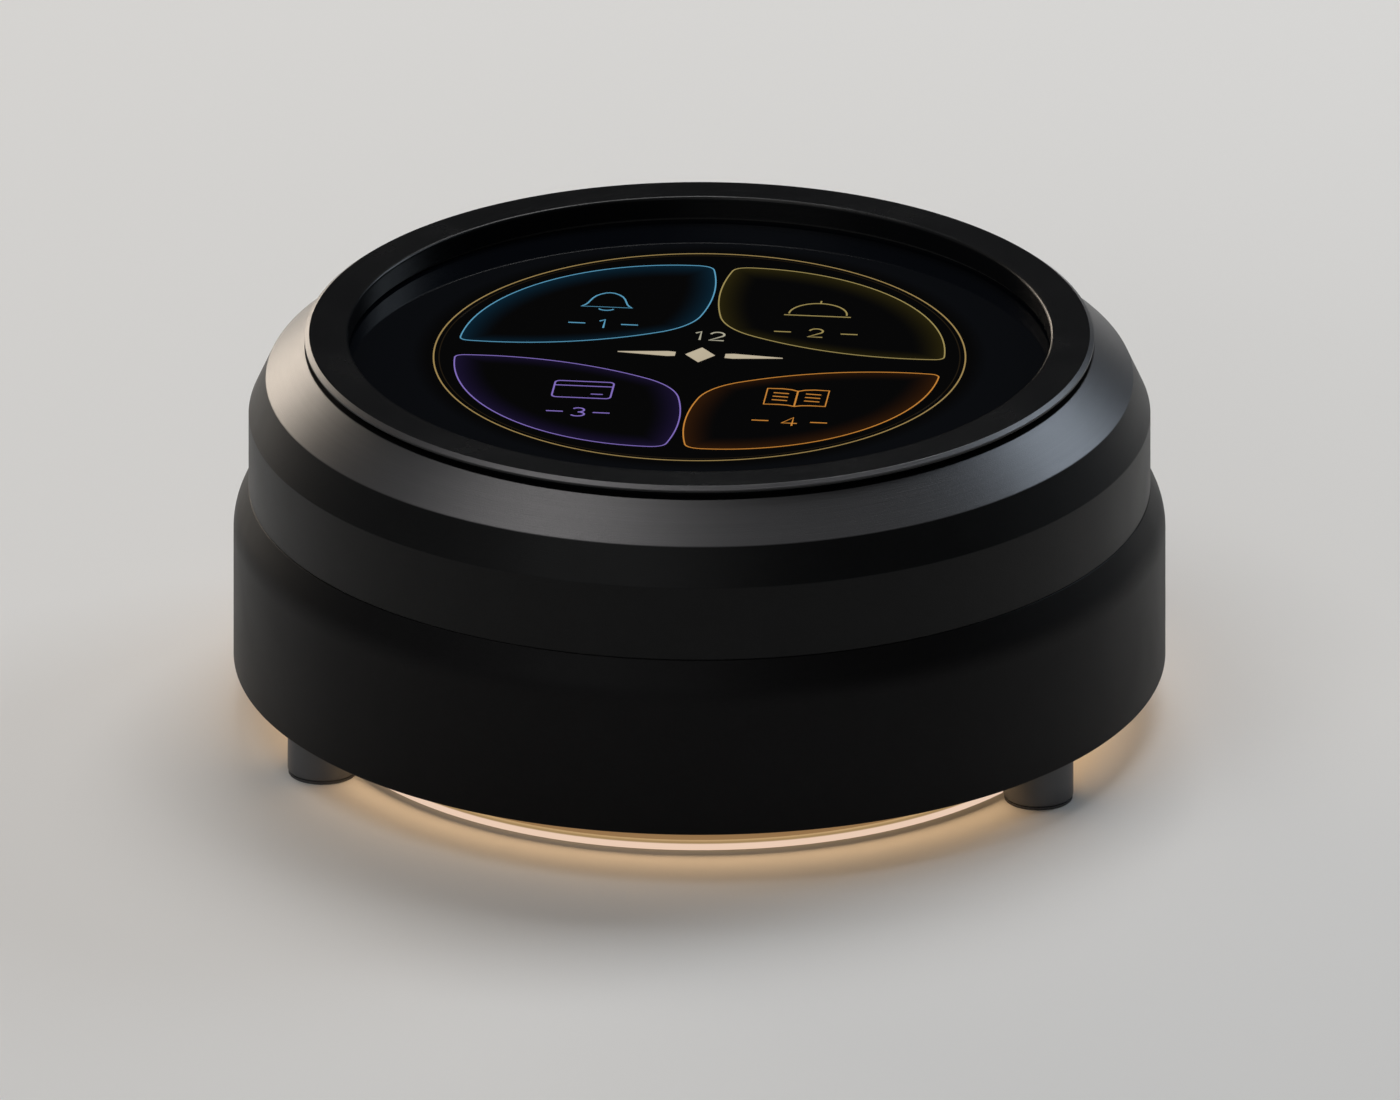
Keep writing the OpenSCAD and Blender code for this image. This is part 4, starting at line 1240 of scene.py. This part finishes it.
def glow(name, light):
    made = lit(name, light)
    tree, base = made.node_tree, made.node_tree.nodes["Principled BSDF"]
    deep = put(tree, "ShaderNodeAttribute", attribute_name="from_line").outputs["Fac"]
    thin = put(tree, "ShaderNodeAttribute", attribute_name="from_gap").outputs["Fac"]
    total = calc(tree, "MAXIMUM", fade(tree, deep, deep_fade),
                 calc(tree, "MULTIPLY", fade(tree, thin, thin_fade), thin_share))
    fill(tree, base, {"Emission Color": blend_colour(tree, total, (0, 0, 0, 1), light)})
    return made


# %% Fields, each a thin plate of rings
def gap_to(points, path):
    """Least distance from each point to a path, both in millimetres."""
    spots = np.array([tuple(p) for p in points])
    a = np.array([tuple(p) for p in path[:-1]])
    b = np.array([tuple(p) for p in path[1:]])
    along = b - a
    share = ((spots[:, None] - a) * along).sum(2) / (along ** 2).sum(1)
    foot = a + np.clip(share, 0, 1)[..., None] * along
    return np.linalg.norm(spots[:, None] - foot, axis=2).min(1)


def field(name, mirror_x, mirror_y, finish):
    path = field_outline()
    middle = sum(path, Vector((0, 0))) / len(path)
    shares = [0, 0.04, 0.08, 0.13, 0.19, 0.26, 0.34, 0.44, 0.57, 0.73]
    flat = [p.lerp(middle, t) for t in shares for p in path] + [middle]
    count = len(path)
    spots = [(*laid((p.x * mirror_x, p.y * mirror_y)) * MM, z * MM)
             for plate, z in ((flat, glass_z + layer), (path, glass_z)) for p in plate]
    bottom = len(flat)
    faces = []
    rim = (len(shares) - 1) * count
    for i in range(count):
        j = (i + 1) % count
        faces += [(r + i, r + j, r + count + j, r + count + i) for r in range(0, rim, count)]
        faces += [(rim + i, rim + j, bottom - 1), (bottom + i, bottom + j, j, i)]
    faces.append(tuple(range(bottom + count - 1, bottom - 1, -1)))
    mesh = bpy.data.meshes.new(name)
    mesh.from_pydata(spots, [], faces)
    if mirror_x * mirror_y < 0:
        mesh.flip_normals()
    lines = gap_to(flat + path, field_outer + field_side[1:])
    gaps = gap_to(flat + path, field_level)
    for label, values in (("from_line", lines), ("from_gap", gaps)):
        kept = mesh.attributes.new(label, "FLOAT", "POINT")
        kept.data.foreach_set("value", (values * MM).astype(np.float32))
    mesh.materials.append(finish)
    made = add(name, mesh)
    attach(made, "display_unit")
    tell(made, 3)
    return path


outline_w = 0.14
lights = {
    "blue": (screen(90, 156, 188), screen(3, 31, 46), -1, 1),
    "olive": (screen(156, 140, 86), screen(35, 30, 5), 1, 1),
    "violet": (screen(130, 110, 188), screen(21, 13, 43), -1, -1),
    "orange": (screen(198, 132, 56), screen(42, 20, 2), 1, -1),
}
for colour, (line_light, glow_light, mirror_x, mirror_y) in lights.items():
    path = field(f"{colour}_field", mirror_x, mirror_y, glow(f"{colour}_glow", glow_light))
    edge = [Vector((p.x * mirror_x, p.y * mirror_y)) for p in path]
    draw(f"{colour}_outline", [(edge, True)], outline_w, lit(f"{colour}_light", line_light))

# %% [markdown]
# A thin gold line frames the display, with a fainter one just inside it.

# %% Gold frame lines
for name, across, width, light in (("gold", 53.2, 0.15, screen(156, 132, 82)),
                                   ("faint", 52.1, 0.12, screen(30, 23, 12))):
    circle = ellipse((0, 0), across, across, steps=256)[:-1]
    draw(f"{name}_line", [(circle, True)], width, lit(f"{name}_light", light))


# %% [markdown]
# The four signs are ordinary ones: a bell, a covered dish, a bank card and an open book. They
# are drawn as strokes round their own middle and then set in their places.

# %% Draw the signs
def at(middle, *strokes):
    return [([Vector(p) + Vector(middle) for p in points], closed) for points, closed in strokes]


def line(*points):
    return list(points), False


def mirrored(points):
    return [(-x, y) for x, y in points]


def rounded_box(width, height, r):
    path = []
    for x, y, first in ((1, 1, 0), (-1, 1, 90), (-1, -1, 180), (1, -1, 270)):
        middle = (x * (width / 2 - r), y * (height / 2 - r))
        path += ellipse(middle, 2 * r, 2 * r, first, first + 90, 6)
    return path


sign_w = 0.17
flank = [(2.55, -1.6), (2.22, -1.25), (1.98, -0.75), (1.8, -0.1), (1.62, 0.55), (1.34, 1.15),
         (0.92, 1.65), (0.45, 1.98)]
bell = at((-10.6, 13.4),
          (flank + [(0, 2.08)] + mirrored(flank)[::-1], True),
          (ellipse((0, -1.95), 1.5, 1.0, 195, 345, 12), False))
dish = at((10.6, 13.5),
          (ellipse((0, -1.35), 5.8, 5.6, 0, 180, 32), False),
          line((-3.35, -1.75), (3.35, -1.75)),
          line((0, 1.45), (0, 2.1)))
card = at((-10.7, -9.55),
          (rounded_box(5.9, 4.2, 0.5), True),
          line((-2.95, 0.95), (2.95, 0.95)),
          line((0.9, -1.05), (2.1, -1.05)))
page = [(0, 1.75), (0.7, 2.1), (1.6, 2.25), (3.1, 2.2), (3.1, -1.85), (1.6, -1.8), (0.7, -1.9),
        (0, -2.15)]
rows = [line((x, y + 0.12), (x + 1.55, y)) for x in (0.85, -2.4) for y in (1.05, 0.15, -0.75)]
book = at((10.75, -9.45), line((0, 1.75), (0, -2.15)), line(*page), line(*mirrored(page)), *rows)
for name, strokes, colour in (("bell_sign", bell, "blue"), ("dish_sign", dish, "olive"),
                              ("card_sign", card, "violet"), ("book_sign", book, "orange")):
    draw(name, strokes, sign_w, bpy.data.materials[f"{colour}_light"], level=3)


# %% [markdown]
# Under each sign stands a plain number between two short dashes, and a plain number stands
# over the middle. Digits are strokes too, in a cell one unit high.

# %% Draw the numbers
digit_h = 2.1
digit_w = 0.19
bold_w = 0.22
dash = 1.7


def digit(number):
    return {
        1: [([(-0.2, 0.3), (0.05, 0.5), (0.05, -0.5)], False)],
        2: [([tuple(p) for p in ellipse((0, 0.2), 0.64, 0.6, 170, -35, 14)]
             + [(-0.34, -0.5), (0.36, -0.5)], False)],
        3: [(ellipse((0, 0.25), 0.56, 0.5, 150, -90, 12), False),
            (ellipse((0, -0.25), 0.66, 0.5, 90, -150, 14), False)],
        4: [([(0.15, -0.5), (0.15, 0.5), (-0.35, -0.2), (0.38, -0.2)], False)],
    }[number]


def number(digits, middle, height, pitch=0.85):
    first = middle[0] - (len(digits) - 1) / 2 * pitch * height
    return [([(first + i * pitch * height + p[0] * height, middle[1] + p[1] * height)
              for p in points], closed)
            for i, d in enumerate(digits) for points, closed in digit(d)]


def label(value, middle, width):
    x, y = middle
    dashes = [line((x + s * width / 2, y), (x + s * (width / 2 - dash), y)) for s in (-1, 1)]
    return number([value], middle, digit_h) + dashes


for value, middle, width, colour in ((1, (-10.5, 7.5), 7.0, "blue"), (2, (10.9, 7.4), 8.4, "olive"),
                                     (3, (-10.6, -15.3), 6.4, "violet"),
                                     (4, (10.7, -15.5), 7.6, "orange")):
    draw(f"number_{value}", label(value, middle, width), digit_w,
         bpy.data.materials[f"{colour}_light"], level=3)
draw("number_12", number([1, 2], (0.3, 5.5), digit_h), bold_w,
     lit("pale_light", screen(172, 168, 148)))

# %% [markdown]
# In the middle stands a plain ornament: a lozenge between two lines that taper outwards.

# %% Cut the ornament
beige = lit("beige_light", screen(188, 176, 152))
ornament_y = 0.6
lozenge = [(1.5, 0), (0, 1.9), (-1.5, 0), (0, -1.9)]
taper = [(2.5, 0.5), (3.3, 0.62), (8.3, 0.08), (8.3, -0.08), (3.3, -0.62), (2.5, -0.5)]
shapes = [lozenge, taper, mirrored(taper)[::-1]]
ornament = prism("ornament", [[laid((x, y + ornament_y)) for x, y in points] for points in shapes],
                 glass_z + 2 * layer, glass_z + 3 * layer, beige)
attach(ornament, "display_unit")
tell(ornament, 3)

# %% [markdown]
# A pale plain floor and a soft studio. The floor is quite matt, so that it doesn't glare when it
# is seen from low down. The cone mirrors what is behind the object at its two ends and what is
# overhead at its front, so three soft lamps are there: a warm key, a cool side lamp and a top
# lamp. A wide front lamp shows the walls, and a back lamp lights the floor without touching the
# cone. The world stays dark at the horizon, which the glass mirrors. It is a little lighter
# overhead, towards the left front and from below.

# %% Floor
def floor_material():
    made, tree, base = blank("floor")
    fill(tree, base, {
        "Base Color": (0.78, 0.77, 0.755, 1), "Roughness": 0.9, "Specular IOR Level": 0.0})
    clear = put(tree, "ShaderNodeBsdfTransparent")
    below = put(tree, "ShaderNodeNewGeometry").outputs["Backfacing"]
    mix = put(tree, "ShaderNodeMixShader", {0: below, 1: base.outputs[0], 2: clear.outputs[0]})
    tree.links.new(mix.outputs[0], tree.nodes["Material Output"].inputs["Surface"])
    return made


bpy.ops.mesh.primitive_plane_add(size=12)
floor = bpy.context.object
floor.name = "floor"
floor.data.materials.append(floor_material())


# %% Lamps and world
def softbox(name, place, size, power, tint=(1, 1, 1), aim_at=(0, 0, 0.02)):
    data = bpy.data.lights.new(name, "AREA")
    data.shape = "RECTANGLE"
    data.size, data.size_y = size
    data.energy = power
    data.color = tint
    lamp = add(name, data)
    lamp.location = place
    lamp.rotation_euler = (Vector(place) - Vector(aim_at)).to_track_quat("Z", "Y").to_euler()
    return lamp


softbox("key", (-0.60, 0.82, 0.20), (0.5, 0.3), 3.2, (1, 0.87, 0.72))
softbox("side", (0.71, 0.56, 0.53), (0.4, 0.4), 2.2, (0.78, 0.89, 1))
softbox("top", (-0.39, -0.185, 0.97), (0.5, 0.5), 1.6, (1, 0.96, 0.92))
softbox("front", (-0.3, -1.0, 0.48), (1.0, 0.3), 1.5)
softbox("back", (0.1, 0.55, 0.95), (0.6, 0.5), 5.4)

fill_side = (-0.75, -0.6, 0.27)


def studio():
    world = bpy.data.worlds.new("studio")
    world.use_nodes = True
    tree = world.node_tree
    way = put(tree, "ShaderNodeTexCoord").outputs["Generated"]
    height = axes_of(tree, way)[2]
    towards = put(tree, "ShaderNodeVectorMath", {0: way, 1: fill_side}, operation="DOT_PRODUCT")
    overhead = ramp(tree, height, 0.5, 1.0, last=0.1)
    side = ramp(tree, towards.outputs["Value"], 0.1, 1.0, first=0.02, last=0.22)
    below = ramp(tree, height, -0.1, -0.3, last=0.25)
    light = calc(tree, "ADD", calc(tree, "ADD", overhead, side), below)
    fill(tree, tree.nodes["Background"], {"Strength": light, "Color": (1, 1, 1, 1)})
    return world


bpy.context.scene.world = studio()
bpy.context.scene.view_settings.view_transform = "Standard"
